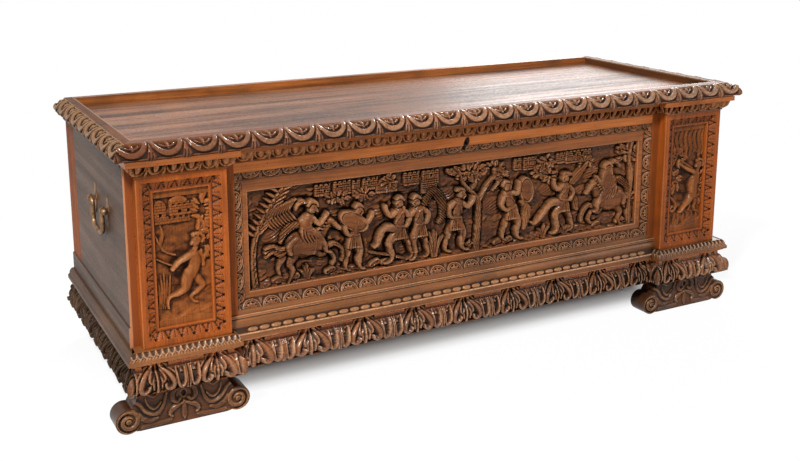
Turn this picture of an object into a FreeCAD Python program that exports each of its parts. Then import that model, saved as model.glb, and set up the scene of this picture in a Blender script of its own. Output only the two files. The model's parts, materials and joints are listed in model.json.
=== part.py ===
import FreeCAD, Part
import os
import re
import Sketcher
from FreeCAD import Placement, Rotation, Vector

# A carved walnut marriage chest: a framed box with a low relief front between two pilasters,
# a tray shaped lid on rear hinges, a leaf carved base and scroll feet.
# X runs along the front, Y from front to back, Z up. The origin is the middle of the footprint.

SIZES = {
    # case
    "case_half": 818, "case_depth": 608, "front_step": 27, "side_thick": 18,
    "back_thick": 20, "bottom_thick": 18, "bottom_lift": 28, "front_thick": 40,
    "rear_stile_width": 93, "band_height": 42, "band_thick": 3, "band_edge": 1.5,
    # heights, from the floor up
    "foot_height": 92, "leaf_height": 66, "cap_height": 27, "pilaster_height": 371,
    "cornice_height": 38, "lid_gap": 0.5, "lid_height": 34,
    # lid
    "lid_side_over": 28, "lid_front_over": 30, "lid_round": 28, "lid_foot_slope": 3,
    "rim_side_flat": 23, "rim_front_flat": 33, "rear_rim_width": 20, "board_thick": 14,
    # centre frame and its relief panel
    "stile_width": 24, "rail_top_height": 60, "rail_bottom_height": 132,
    "frame_slope": 20, "frame_depth": 10, "frame_fillet": 14, "frame_fillet_drop": 3,
    "frame_bead": 14, "panel_thick": 18, "relief_rise": 12, "relief_margin": 2,
    "sill_height": 27, "sill_fillet": 15, "sill_round": 8, "sill_step": 4,
    # pilasters
    "pilaster_width": 194, "pilaster_edge": 13.5,
    "pilaster_slope": 17, "pilaster_sink": 10, "pilaster_fillet": 7, "niche_sink": 15,
    # cornice section
    "cornice_reach": 24, "cornice_fillet": 12, "ovolo_reach": 18, "ovolo_round": 27,
    "ovolo_foot": 3, "ovolo_lip": 2, "side_fillet_height": 19, "side_fillet_thick": 6,
    # cap section over the leaves
    "cap_reach": 19, "cap_top": 8, "cap_shoulder": 15, "cap_shoulder_drop": 13,
    "cap_round": 16, "cap_tip": 8, "cap_tip_drop": 17, "cap_under": 13,
    # leaf section of the base
    "leaf_reach": 26, "leaf_top": 12, "leaf_neck": 5, "leaf_neck_drop": 8,
    "leaf_start_drop": 14, "leaf_round": 42, "leaf_belly_rise": 16, "leaf_hem": 22,
    # scroll feet
    "foot_inset": 102, "foot_half": 120, "foot_roll": 26, "foot_shoulder": 39,
    "foot_lift": 7, "foot_top_half": 90, "foot_setback": 8, "foot_thick": 54,
    "rear_foot_inset": 28, "rear_foot_width": 180, "rear_foot_thick": 46, "rear_foot_post": 70,
    "rear_foot_spring": 24, "rear_foot_curve": 118, "rear_foot_tail": 20,
    # bail handles
    "handle_middle": 236, "handle_height": 447, "handle_half": 59, "plate_half": 35,
    "plate_waist": 11, "plate_thick": 2, "eye_reach": 9, "eye_round": 8,
    "eye_width": 6, "bail_bar": 4, "bail_clearance": 0.5, "bail_drop": 58,
    "bail_inset": 15, "bail_bend": 16, "bail_elbow": 8, "bail_tail": 10, "bail_knob": 6,
    "bail_bump": 5.5, "bail_bump_width": 14,
    # hinges
    "hinge_place": 500, "hinge_half": 35, "leaf_plate": 2.5, "leaf_plate_height": 26,
    "knuckle_round": 6, "knuckle_stand": 0.4, "pin_round": 2.5, "pin_clearance": 0.1,
    "knuckle_half": 12, "knuckle_gap": 0.5, "pin_head": 2,
    # lock
    "lock_half": 65, "lock_height": 84, "lock_thick": 20, "lock_top_gap": 4,
    "staple_half": 4, "staple_width": 12, "staple_side": 2.5, "staple_drop": 26,
    "staple_bar": 5, "staple_plate_half": 26, "staple_plate_width": 16,
    "staple_plate_thick": 3, "staple_clearance": 2.5, "bolt_width": 5, "bolt_height": 9, "bolt_length": 40,
    "bolt_throw": 18, "bolt_clearance": 0.5,
    "keyhole_round": 4, "keyhole_width": 4, "keyhole_length": 22, "keyhole_rise": 6,
    "cut_overrun": 5,
}

LABELS = []
doc = FreeCAD.newDocument("Cassone")
sheet = doc.addObject("Spreadsheet::Sheet", "Sizes")
for row, (name, value) in enumerate(SIZES.items(), start=1):
    sheet.set(f"A{row}", name)
    sheet.set(f"B{row}", str(value))
    sheet.setAlias(f"B{row}", name)
doc.recompute()


# places that several pieces share, written in the named sizes
FACE = "((lid_front_over - case_depth - knuckle_stand - 2 * knuckle_round) / 2)"
CASE_FRONT = f"({FACE} + front_step)"
CASE_BACK = f"({FACE} + case_depth)"
INNER_FRONT = f"({CASE_FRONT} + front_thick)"
INNER_BACK = f"({CASE_BACK} - back_thick)"
SIDE_INSIDE = "(case_half - side_thick)"
PILASTER_OUTER = SIDE_INSIDE
PILASTER_INNER = f"({PILASTER_OUTER} - pilaster_width)"
CAP_FOOT = "(foot_height + leaf_height)"
PILASTER_FOOT = f"({CAP_FOOT} + cap_height)"
PILASTER_HEAD = f"({PILASTER_FOOT} + pilaster_height)"
CASE_TOP = f"({PILASTER_HEAD} + cornice_height)"
LID_FOOT = f"({CASE_TOP} + lid_gap)"
LID_TOP = f"({LID_FOOT} + lid_height)"
BOTTOM_TOP = "(foot_height + bottom_lift + bottom_thick)"
OPEN_HALF = f"({PILASTER_INNER} - stile_width)"
OPEN_FOOT = "(foot_height + rail_bottom_height)"
OPEN_HEAD = f"({CASE_TOP} - rail_top_height)"
FIELD_HALF = f"({OPEN_HALF} - frame_slope - frame_fillet)"
FIELD_FOOT = f"({OPEN_FOOT} + frame_slope + frame_fillet)"
FIELD_HEAD = f"({OPEN_HEAD} - frame_slope - frame_fillet - frame_bead)"


def bound(text):
    """Writes plain size names as names of the sheet's cells."""
    return re.sub(r"\b(?!sqrt\b)([a-z][a-z_]*[a-z])\b", r"Sizes.\1", text)


def number(text):
    return float(sheet.evalExpression(bound(text)))


def bind(thing, prop, text):
    thing.setExpression(prop, bound(text))


def place(thing, x, y, z):
    for axis, text in (("x", x), ("y", y), ("z", z)):
        bind(thing, f"Placement.Base.{axis}", text)


def name(thing, label):
    thing.Label = label
    LABELS.append((label, thing))
    return thing


def box(label, low, size):
    block = doc.addObject("Part::Box", label)
    for prop, text in zip(("Length", "Width", "Height"), size):
        bind(block, prop, text)
    place(block, *low)
    return block


def board(label, low, size):
    return name(box(label, low, size), label)


def rod(label, base, radius, length, turn=Rotation()):
    bar = doc.addObject("Part::Cylinder", label)
    bind(bar, "Radius", radius)
    bind(bar, "Height", length)
    bar.Placement = Placement(Vector(), turn)
    place(bar, *base)
    return bar


ALONG_X = Rotation(Vector(0, 1, 0), 90)
ALONG_Y = Rotation(Vector(1, 0, 0), -90)


def join(label, parts):
    whole = doc.addObject("Part::MultiFuse", label)
    whole.Shapes = parts
    whole.Refine = True
    return whole


def cut(label, base, tool):
    rest = doc.addObject("Part::Cut", label)
    rest.Base = base
    rest.Tool = tool
    return rest


def arcPoint(start, end, radius):
    """The middle of the short arc from start to end; a positive radius bulges to the right."""
    middle = (start + end) / 2
    chord = end - start
    side = Vector(chord.y, -chord.x, 0).normalize()
    depth = abs(radius) - max(radius ** 2 - (chord.Length / 2) ** 2, 0) ** 0.5
    return middle + side * (depth if radius > 0 else -depth)


def outline(sketch, points, closed=True):
    """Draws a chain of edges; a third entry makes the edge that leaves the point an arc."""
    corners = [Vector(number(p[0]), number(p[1]), 0) for p in points]
    count = len(points)
    ends = []
    edges = points if closed else points[:-1]
    for i, point in enumerate(edges):
        first, last = corners[i], corners[(i + 1) % count]
        if len(point) == 3:
            curve = Part.Arc(first, arcPoint(first, last, number(point[2])), last)
            edge = sketch.addGeometry(curve)
            swapped = sketch.getPoint(edge, 1).distanceToPoint(first) > sketch.getPoint(edge, 2).distanceToPoint(first)
            ends.append((2, 1) if swapped else (1, 2))
        else:
            edge = sketch.addGeometry(Part.LineSegment(first, last))
            ends.append((1, 2))
    for i in range(len(edges) if closed else len(edges) - 1):
        after = (i + 1) % count
        sketch.addConstraint(Sketcher.Constraint("Coincident", i, ends[i][1], after, ends[after][0]))
    for i, point in enumerate(points):
        edge, end = (i, ends[i][0]) if i < len(edges) else (i - 1, ends[i - 1][1])
        for kind, text, value in (("DistanceX", point[0], corners[i].x), ("DistanceY", point[1], corners[i].y)):
            mark = sketch.addConstraint(Sketcher.Constraint(kind, -1, 1, edge, end, value))
            bind(sketch, f"Constraints[{mark}]", text)
        if len(point) == 3:
            mark = sketch.addConstraint(Sketcher.Constraint("Radius", i, abs(number(point[2]))))
            bind(sketch, f"Constraints[{mark}]", point[2].lstrip("-"))


def onPlane(body, plane, start):
    """An empty sketch on one of the body's own planes, moved along that plane's normal by start."""
    sketch = body.newObject("Sketcher::SketchObject", f"{body.Name}Sketch")
    face = [item for item in body.Origin.OriginFeatures if item.Role == f"{plane}_Plane"][0]
    sketch.AttachmentSupport = [(face, "")]
    sketch.MapMode = "FlatFace"
    bind(sketch, "AttachmentOffset.Base.z", start)
    return sketch


def drawn(body, plane, points, start="0", closed=True):
    sketch = onPlane(body, plane, start)
    outline(sketch, points, closed)
    return sketch


def bentBar(label, plane, points, start, across, centre, radius):
    """A round bar drawn along an open chain of edges; its end circle lies across at centre."""
    body = doc.addObject("PartDesign::Body", label)
    ring = onPlane(body, across[0], across[1])
    circle = Part.Circle(Vector(number(centre[0]), number(centre[1]), 0), Vector(0, 0, 1), number(radius))
    ring.addGeometry(circle)
    for kind, text in (("DistanceX", centre[0]), ("DistanceY", centre[1])):
        mark = ring.addConstraint(Sketcher.Constraint(kind, -1, 1, 0, 3, number(text)))
        bind(ring, f"Constraints[{mark}]", text)
    mark = ring.addConstraint(Sketcher.Constraint("Radius", 0, number(radius)))
    bind(ring, f"Constraints[{mark}]", radius)
    path = drawn(body, plane, points, start, closed=False)
    doc.recompute()
    bar = body.newObject("PartDesign::AdditivePipe", f"{label}Bar")
    bar.Profile = ring
    bar.Spine = (path, [f"Edge{i + 1}" for i in range(len(points) - 1)])
    bar.Mode = "Standard"
    bar.Transition = "Transformed"
    return body


def run(label, plane, points, start, length):
    """A section drawn on a plane and drawn out along its normal."""
    body = doc.addObject("PartDesign::Body", label)
    pad = body.newObject("PartDesign::Pad", f"{label}Run")
    pad.Profile = drawn(body, plane, points, start)
    bind(pad, "Length", length)
    return body


def trim(body, plane, points):
    """Cuts the outline through the whole body."""
    doc.recompute()
    before = body.Shape.Volume
    pocket = body.newObject("PartDesign::Pocket", f"{body.Name}Trim")
    pocket.Profile = drawn(body, plane, points)
    pocket.Type = "ThroughAll"
    pocket.SideType = "Symmetric"
    doc.recompute()
    if body.Shape.Volume > before - 1:
        raise RuntimeError(f"{body.Label}: the cut at its end removes nothing")
    return body


def mirrored(text, side):
    return f"({text})" if side > 0 else f"(-{text})"


def turnedOver(radius):
    return radius[1:] if radius.startswith("-") else f"-{radius}"


def mirroredOutline(points, side):
    """The outline on the right, or its mirror image on the left with its arcs turned over."""
    if side > 0:
        return points
    turned = []
    for point in points:
        rest = [turnedOver(point[2])] if len(point) == 3 else []
        turned.append([f"-({point[0]})", point[1]] + rest)
    return turned


SIDES = (("left", -1), ("right", 1))


# sections, as steps out from the face that carries them and heights
CORNICE = [
    ("cornice_reach", CASE_TOP),
    ("cornice_reach", f"{CASE_TOP} - cornice_fillet"),
    ("ovolo_reach", f"{CASE_TOP} - cornice_fillet", "ovolo_round"),
    ("ovolo_foot", f"{PILASTER_HEAD} + ovolo_lip"),
    ("ovolo_foot", PILASTER_HEAD),
]
CAP = [
    ("cap_top", PILASTER_FOOT, "cap_round"),
    ("cap_shoulder", f"{PILASTER_FOOT} - cap_shoulder_drop"),
    ("cap_reach", f"{PILASTER_FOOT} - cap_tip_drop"),
    ("cap_reach", f"{PILASTER_FOOT} - cap_tip_drop - cap_tip"),
    ("cap_under", CAP_FOOT),
]
LEAF = [
    ("leaf_top", CAP_FOOT),
    ("leaf_neck", f"{CAP_FOOT} - leaf_neck_drop"),
    ("leaf_neck", f"{CAP_FOOT} - leaf_start_drop", "leaf_round"),
    ("leaf_reach", "foot_height + leaf_belly_rise"),
    ("leaf_hem", "foot_height"),
]


def frontSection(steps, face, back):
    """The section seen along X: it steps out to the front from a face, filled to its back."""
    points = [(back, steps[0][1])]
    for step in steps:
        points.append([f"{face} - {step[0]}"] + list(step[1:]))
    return points + [(back, steps[-1][1])]


def sideSection(steps, face, side, back=None):
    """The section seen along Y, stepping out sideways from a face."""
    points = [(back or face, steps[0][1])]
    for step in steps:
        rest = [f"-{step[2]}"] if len(step) == 3 else []
        points.append([f"{face} + {step[0]}", step[1]] + rest)
    points.append((back or face, steps[-1][1]))
    return mirroredOutline(points, side)


def widest(steps):
    return max((step[0] for step in steps), key=number)


def centreRun(label, steps):
    """A moulding between the pilasters, mitred into their inner returns."""
    reach = f"({widest(steps)} + cut_overrun)"
    body = run(label, "YZ", frontSection(steps, CASE_FRONT, CASE_FRONT), f"-{PILASTER_INNER}",
               f"2 * {PILASTER_INNER}")
    for side in (-1, 1):
        trim(body, "XY", mirroredOutline([
            (f"{PILASTER_INNER} + cut_overrun", f"{CASE_FRONT} + cut_overrun"),
            (f"{PILASTER_INNER} - {reach}", f"{CASE_FRONT} - {reach}"),
            (f"{PILASTER_INNER} + cut_overrun", f"{CASE_FRONT} - {reach}"),
        ], side))
    return name(body, label)


def returnRun(label, steps, edge, side, outward):
    """A short return from the pilaster's face back to the case, mitred at its front."""
    reach = f"({widest(steps)} + cut_overrun)"
    sign = "+" if outward else "-"
    points = [(edge, steps[0][1])]
    for step in steps:
        rest = [f"-{step[2]}" if outward else step[2]] if len(step) == 3 else []
        points.append([f"{edge} {sign} {step[0]}", step[1]] + rest)
    points.append((edge, steps[-1][1]))
    body = run(label, "XZ", mirroredOutline(points, side), f"-{CASE_FRONT}", f"front_step + {widest(steps)}")
    back = "-" if outward else "+"
    trim(body, "XY", mirroredOutline([
        (f"{edge} {back} cut_overrun", f"{FACE} + cut_overrun"),
        (f"{edge} {sign} {reach}", f"{FACE} - {reach}"),
        (f"{edge} {back} cut_overrun", f"{FACE} - {reach}"),
    ], side))
    if not outward:
        trim(body, "XY", mirroredOutline([
            (f"{edge} + cut_overrun", f"{CASE_FRONT} + cut_overrun"),
            (f"{edge} - {reach}", f"{CASE_FRONT} - {reach}"),
            (f"{edge} - {reach}", f"{CASE_FRONT} + cut_overrun"),
        ], side))
    return body


def pilasterRun(label, steps, outer, side):
    """The front stretch of a moulding over or under one pilaster, mitred at both ends."""
    reach = f"({widest(steps)} + cut_overrun)"
    start = f"{PILASTER_INNER} - {widest(steps)}" if side > 0 else f"-({outer} + {widest(steps)})"
    body = run(label, "YZ", frontSection(steps, FACE, CASE_FRONT), start,
               f"{outer} - {PILASTER_INNER} + 2 * {widest(steps)}")
    for edge, sign in ((outer, "+"), (PILASTER_INNER, "-")):
        trim(body, "XY", mirroredOutline([
            (f"{edge} {sign} {reach}", f"{FACE} - {reach}"),
            (edge, FACE),
            (edge, f"{CASE_FRONT} + cut_overrun"),
            (f"{edge} {sign} {reach}", f"{CASE_FRONT} + cut_overrun"),
        ], side))
    return body


def sideRun(label, steps, side):
    """The moulding along one end of the case, mitred at the front corner."""
    reach = f"({widest(steps)} + cut_overrun)"
    body = run(label, "XZ", sideSection(steps, "case_half", side), f"-{CASE_BACK}",
               f"case_depth + {widest(steps)}")
    trim(body, "XY", mirroredOutline([
        ("case_half - cut_overrun", f"{FACE} + cut_overrun"),
        (f"case_half + {reach}", f"{FACE} - {reach}"),
        ("case_half - cut_overrun", f"{FACE} - {reach}"),
    ], side))
    return name(body, label)


def makeBaseAndCornice():
    for title, steps in (("leaf_moulding", LEAF), ("cap_moulding", CAP)):
        centreRun(f"{title}_centre", steps)
        for word, side in SIDES:
            front = pilasterRun(f"{title}_{word}Front", steps, "case_half", side)
            inner = returnRun(f"{title}_{word}Return", steps, PILASTER_INNER, side, False)
            name(join(f"{title}_pilaster_{word}", [front, inner]), f"{title}_pilaster_{word}")
            sideRun(f"{title}_side_{word}", steps, side)
    centreRun("cornice_centre", CORNICE)
    for word, side in SIDES:
        front = pilasterRun(f"cornice_{word}Front", CORNICE, PILASTER_OUTER, side)
        inner = returnRun(f"cornice_{word}Inner", CORNICE, PILASTER_INNER, side, False)
        outer = returnRun(f"cornice_{word}Outer", CORNICE, PILASTER_OUTER, side, True)
        name(join(f"cornice_pilaster_{word}", [front, inner, outer]), f"cornice_pilaster_{word}")
        board(f"side_fillet_{word}",
              ("case_half" if side > 0 else "-case_half - side_fillet_thick", CASE_FRONT,
               f"{CASE_TOP} - side_fillet_height"),
              ("side_fillet_thick", "case_depth - front_step", "side_fillet_height"))


def makeCase():
    for word, side in SIDES:
        left = SIDE_INSIDE if side > 0 else "-case_half"
        height = f"{CASE_TOP} - foot_height"
        board(f"side_board_{word}", (left, CASE_FRONT, "foot_height"),
              ("side_thick", "case_depth - front_step - rear_stile_width", height))
        board(f"side_rear_stile_{word}", (left, f"{CASE_BACK} - rear_stile_width", "foot_height"),
              ("side_thick", "rear_stile_width", height))
        band = run(f"side_band_{word}", "XZ", mirroredOutline([
            ("case_half", PILASTER_FOOT),
            ("case_half + band_thick", PILASTER_FOOT),
            ("case_half + band_thick", f"{PILASTER_FOOT} + band_height - band_edge"),
            ("case_half + band_thick - band_edge", f"{PILASTER_FOOT} + band_height"),
            ("case_half", f"{PILASTER_FOOT} + band_height"),
        ], side), f"-{CASE_BACK}", "case_depth - front_step")
        name(band, f"side_band_{word}")
    split = f"({CASE_TOP} - foot_height) / 2"
    for word, floor in (("lower", "foot_height"), ("upper", f"foot_height + {split}")):
        board(f"back_board_{word}", (f"-{SIDE_INSIDE}", INNER_BACK, floor),
              (f"2 * {SIDE_INSIDE}", "back_thick", split))
    board("bottom_board", (f"-{SIDE_INSIDE}", INNER_FRONT, "foot_height + bottom_lift"),
          (f"2 * {SIDE_INSIDE}", f"{INNER_BACK} - {INNER_FRONT}", "bottom_thick"))


def keyhole(label):
    """A round hole with a slot under it, right through the front."""
    centre = f"{OPEN_HEAD} + keyhole_rise"
    depth = "front_thick + 2 * cut_overrun"
    start = f"{CASE_FRONT} - cut_overrun"
    hole = rod(f"{label}Hole", ("0", start, centre), "keyhole_round", depth, ALONG_Y)
    slot = box(f"{label}Slot", ("-keyhole_width / 2", start, f"{centre} - keyhole_length"),
               ("keyhole_width", depth, "keyhole_length"))
    return join(f"{label}Tool", [hole, slot])


def makeFront():
    height = f"{CASE_TOP} - foot_height"
    for word, side in SIDES:
        low = OPEN_HALF if side > 0 else f"-{SIDE_INSIDE}"
        board(f"front_stile_{word}", (low, CASE_FRONT, "foot_height"),
              (f"{SIDE_INSIDE} - {OPEN_HALF}", "front_thick", height))
    top = box("front_rail_topBlank", (f"-{OPEN_HALF}", CASE_FRONT, OPEN_HEAD),
              (f"2 * {OPEN_HALF}", "front_thick", "rail_top_height"))
    name(cut("front_rail_top", top, keyhole("railKey")), "front_rail_top")
    board("front_rail_bottom", (f"-{OPEN_HALF}", CASE_FRONT, "foot_height"),
          (f"2 * {OPEN_HALF}", "front_thick", "rail_bottom_height"))
    panel_front = f"{INNER_FRONT} - panel_thick"
    ground = box("relief_panelGround", (f"-{OPEN_HALF}", panel_front, OPEN_FOOT),
                 (f"2 * {OPEN_HALF}", "panel_thick", f"{OPEN_HEAD} - {OPEN_FOOT}"))
    field = box("relief_panelField",
                (f"-{FIELD_HALF} + relief_margin", f"{panel_front} - relief_rise", f"{FIELD_FOOT} + relief_margin"),
                (f"2 * ({FIELD_HALF} - relief_margin)", "relief_rise",
                 f"{FIELD_HEAD} - {FIELD_FOOT} - 2 * relief_margin"))
    blank = join("relief_panelBlank", [ground, field])
    name(cut("relief_panel", blank, keyhole("panelKey")), "relief_panel")
    name(run("sill_moulding", "YZ", [
        (CASE_FRONT, PILASTER_FOOT),
        (f"{CASE_FRONT} - sill_step", PILASTER_FOOT, "-sill_round"),
        (f"{CASE_FRONT} - sill_step", f"{PILASTER_FOOT} + sill_fillet"),
        (f"{CASE_FRONT} - sill_step", f"{PILASTER_FOOT} + sill_height"),
        (CASE_FRONT, f"{PILASTER_FOOT} + sill_height"),
    ], f"-{PILASTER_INNER}", f"2 * {PILASTER_INNER}"), "sill_moulding")


def panelMoulding():
    """Four mitred lengths: a carved slope that falls in from the frame, then a plain fillet."""
    low = f"{CASE_FRONT} + frame_depth"
    back = f"{INNER_FRONT} - panel_thick"

    def section(edge, sign, bead):
        return [
            (edge, CASE_FRONT),
            (f"{edge} {sign} frame_slope", low),
            (f"{edge} {sign} (frame_slope + frame_fillet{bead})", f"{low} + frame_fillet_drop"),
            (f"{edge} {sign} (frame_slope + frame_fillet{bead})", back),
            (edge, back),
        ]

    outer = {"left": f"-{OPEN_HALF}", "right": OPEN_HALF, "bottom": OPEN_FOOT, "top": OPEN_HEAD}
    inner = {"left": f"-{FIELD_HALF}", "right": FIELD_HALF, "bottom": FIELD_FOOT, "top": FIELD_HEAD}
    for word, sign, bead in (("bottom", "+", ""), ("top", "-", " + frame_bead")):
        points = [(depth, height) for height, depth in section(outer[word], sign, bead)]
        body = run(f"panel_moulding_{word}", "YZ", points, outer["left"], f"2 * {OPEN_HALF}")
        for side in (-1, 1):
            trim(body, "XZ", mirroredOutline([
                (OPEN_HALF, outer[word]), (FIELD_HALF, inner[word]), (OPEN_HALF, inner[word]),
            ], side))
        if word == "bottom":
            name(body, f"panel_moulding_{word}")
        else:
            name(cut("panel_moulding_topCut", body, keyhole("mouldingKey")), "panel_moulding_top")
    for word, side in SIDES:
        body = run(f"panel_moulding_{word}", "XY", mirroredOutline(section(OPEN_HALF, "-", ""), side),
                   OPEN_FOOT, f"{OPEN_HEAD} - {OPEN_FOOT}")
        for edge in ("bottom", "top"):
            trim(body, "XZ", mirroredOutline([
                (OPEN_HALF, outer[edge]), (FIELD_HALF, inner[edge]), (FIELD_HALF, outer[edge]),
            ], side))
        name(body, f"panel_moulding_{word}")


def makePilasters():
    middle = f"({PILASTER_OUTER} - pilaster_width / 2)"
    slope_half = "(pilaster_width / 2 - pilaster_edge)"
    fillet_half = f"({slope_half} - pilaster_slope)"
    niche_half = f"({fillet_half} - pilaster_fillet)"
    rim = "(pilaster_edge + pilaster_slope + pilaster_fillet)"
    for word, side in SIDES:
        centre = mirrored(middle, side)
        blank = box(f"pilaster_{word}Blank",
                    (PILASTER_INNER if side > 0 else f"-{PILASTER_OUTER}", FACE, PILASTER_FOOT),
                    ("pilaster_width", "front_step", "pilaster_height"))
        hopper = doc.addObject("Part::Wedge", f"pilaster_{word}Slope")
        # the wedge's own Y is its depth, so its small end lies at the back of the slope
        for prop, text in (("Xmin", f"-{slope_half}"), ("Xmax", slope_half),
                           ("Zmin", "pilaster_edge"), ("Zmax", "pilaster_height - pilaster_edge"),
                           ("X2min", f"-{fillet_half}"), ("X2max", fillet_half),
                           ("Z2min", "pilaster_edge + pilaster_slope"),
                           ("Z2max", "pilaster_height - pilaster_edge - pilaster_slope"),
                           ("Ymin", "0"), ("Ymax", "pilaster_sink")):
            bind(hopper, prop, text)
        place(hopper, centre, FACE, PILASTER_FOOT)
        opening = box(f"pilaster_{word}Opening",
                      (f"{centre} - {niche_half}", f"{FACE}", f"{PILASTER_FOOT} + {rim}"),
                      (f"2 * {niche_half}", "front_step + cut_overrun", f"pilaster_height - 2 * {rim}"))
        tool = join(f"pilaster_{word}Tool", [hopper, opening])
        name(cut(f"pilaster_frame_{word}", blank, tool), f"pilaster_frame_{word}")
        board(f"pilaster_panel_{word}",
              (f"{centre} - {niche_half}", f"{FACE} + niche_sink", f"{PILASTER_FOOT} + {rim}"),
              (f"2 * {niche_half}", "front_step - niche_sink", f"pilaster_height - 2 * {rim}"))


def makeLid():
    outer = "(case_half + lid_side_over)"
    inner = f"({outer} - lid_round - rim_side_flat)"
    front = f"({FACE} - lid_front_over)"
    tray_front = f"({front} + lid_round + rim_front_flat)"
    tray_back = f"({CASE_BACK} - rear_rim_width)"
    rim = run("lid_rim_front", "YZ", [
        (tray_front, LID_FOOT),
        (tray_front, LID_TOP),
        (f"{front} + lid_round", LID_TOP, "lid_round"),
        (front, f"{LID_TOP} - lid_round"),
        (f"{front} + lid_foot_slope", LID_FOOT),
    ], f"-{outer}", f"2 * {outer}")
    for side in (-1, 1):
        trim(rim, "XY", mirroredOutline([
            (outer, front), (inner, tray_front), (outer, tray_front),
        ], side))
    name(rim, "lid_rim_front")
    for word, side in SIDES:
        rim = run(f"lid_rim_{word}", "XZ", mirroredOutline([
            (inner, LID_FOOT),
            (inner, LID_TOP),
            (f"{outer} - lid_round", LID_TOP, "-lid_round"),
            (outer, f"{LID_TOP} - lid_round"),
            (f"{outer} - lid_foot_slope", LID_FOOT),
        ], side), f"-{CASE_BACK}", "case_depth + lid_front_over")
        trim(rim, "XY", mirroredOutline([
            (outer, front), (inner, tray_front), (inner, front),
        ], side))
        name(rim, f"lid_rim_{word}")
    board("lid_rim_rear", (f"-{inner}", tray_back, LID_FOOT), (f"2 * {inner}", "rear_rim_width", "lid_height"))
    width = f"(({tray_back} - {tray_front}) / 3)"
    for i, word in enumerate(("front", "middle", "rear")):
        board(f"lid_board_{word}", (f"-{inner}", f"{tray_front} + {i} * {width}", LID_FOOT),
              (f"2 * {inner}", width, "board_thick"))


def makeFeet():
    middle = "(case_half - foot_inset)"
    outer = "(case_half - rear_foot_inset)"
    roll_flat = "sqrt(foot_roll ^ 2 - (foot_roll - foot_lift) ^ 2)"
    for word, side in SIDES:
        half = []
        for sign in (1, -1):
            at = f"{middle} + " if sign > 0 else f"{middle} - "
            arc = "" if sign > 0 else "-"
            half.append([
                (f"{at}(foot_half - {roll_flat})", "foot_lift", f"{arc}foot_roll"),
                (f"{at}foot_half", "0", f"{arc}foot_roll"),
                (f"{at}(foot_half + foot_roll)", "foot_roll", f"{arc}foot_shoulder"),
                (f"{at}(foot_half + foot_roll - foot_shoulder)", "foot_roll + foot_shoulder"),
                (f"{at}foot_top_half", "foot_height"),
            ])
        other = half[1]
        back = [
            other[4][:2],
            (other[3][0], other[3][1], "foot_shoulder"),
            (other[2][0], other[2][1], "foot_roll"),
            (other[1][0], other[1][1], "foot_roll"),
            other[0][:2],
        ]
        points = half[0] + back
        body = run(f"foot_front_{word}", "XZ", mirroredOutline(points, side),
                   f"-({FACE} + foot_setback + foot_thick)", "foot_thick")
        name(body, f"foot_front_{word}")
        name(run(f"foot_rear_{word}", "XZ", mirroredOutline([
            (outer, "foot_height"),
            (f"{outer} - rear_foot_width", "foot_height"),
            (f"{outer} - rear_foot_width", "foot_height - rear_foot_tail", "-rear_foot_curve"),
            (f"{outer} - rear_foot_post", "rear_foot_spring"),
            (f"{outer} - rear_foot_post", "0"),
            (outer, "0"),
        ], side), f"-{CASE_BACK}", "rear_foot_thick"), f"foot_rear_{word}")


def makeHandles():
    axis_out = "(case_half + plate_thick + eye_reach)"
    middle = f"({FACE} + handle_middle)"
    for word, side in SIDES:
        axis_x = mirrored(axis_out, side)
        plates = []
        for end, sign in (("Front", "-"), ("Rear", "+")):
            at = f"({middle} {sign} handle_half)"
            plate = run(f"handle_{word}{end}Plate", "YZ", [
                (at, "handle_height - plate_half"),
                (f"{at} + plate_waist", "handle_height"),
                (at, "handle_height + plate_half"),
                (f"{at} - plate_waist", "handle_height"),
            ], "case_half" if side > 0 else "-case_half - plate_thick", "plate_thick")
            boss = rod(f"handle_{word}{end}Eye", (axis_x, f"{at} - eye_width / 2", "handle_height"),
                       "eye_round", "eye_width", ALONG_Y)
            neck_low = "case_half + plate_thick / 2"
            neck = box(f"handle_{word}{end}Neck",
                       (neck_low if side > 0 else f"-{axis_out}", f"{at} - eye_width / 2",
                        "handle_height - eye_round / 2"),
                       (f"{axis_out} - ({neck_low})", "eye_width", "eye_round"))
            hole = rod(f"handle_{word}{end}Hole", (axis_x, f"{at} - eye_width", "handle_height"),
                       "bail_bar + bail_clearance", "2 * eye_width", ALONG_Y)
            plates.append(cut(f"handle_{word}{end}", join(f"handle_{word}{end}Whole", [plate, boss, neck]), hole))
        pair = doc.addObject("Part::Compound", f"handle_plates_{word}")
        pair.Links = plates
        name(pair, f"handle_plates_{word}")
        makeBail(word, axis_x, middle)


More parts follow.
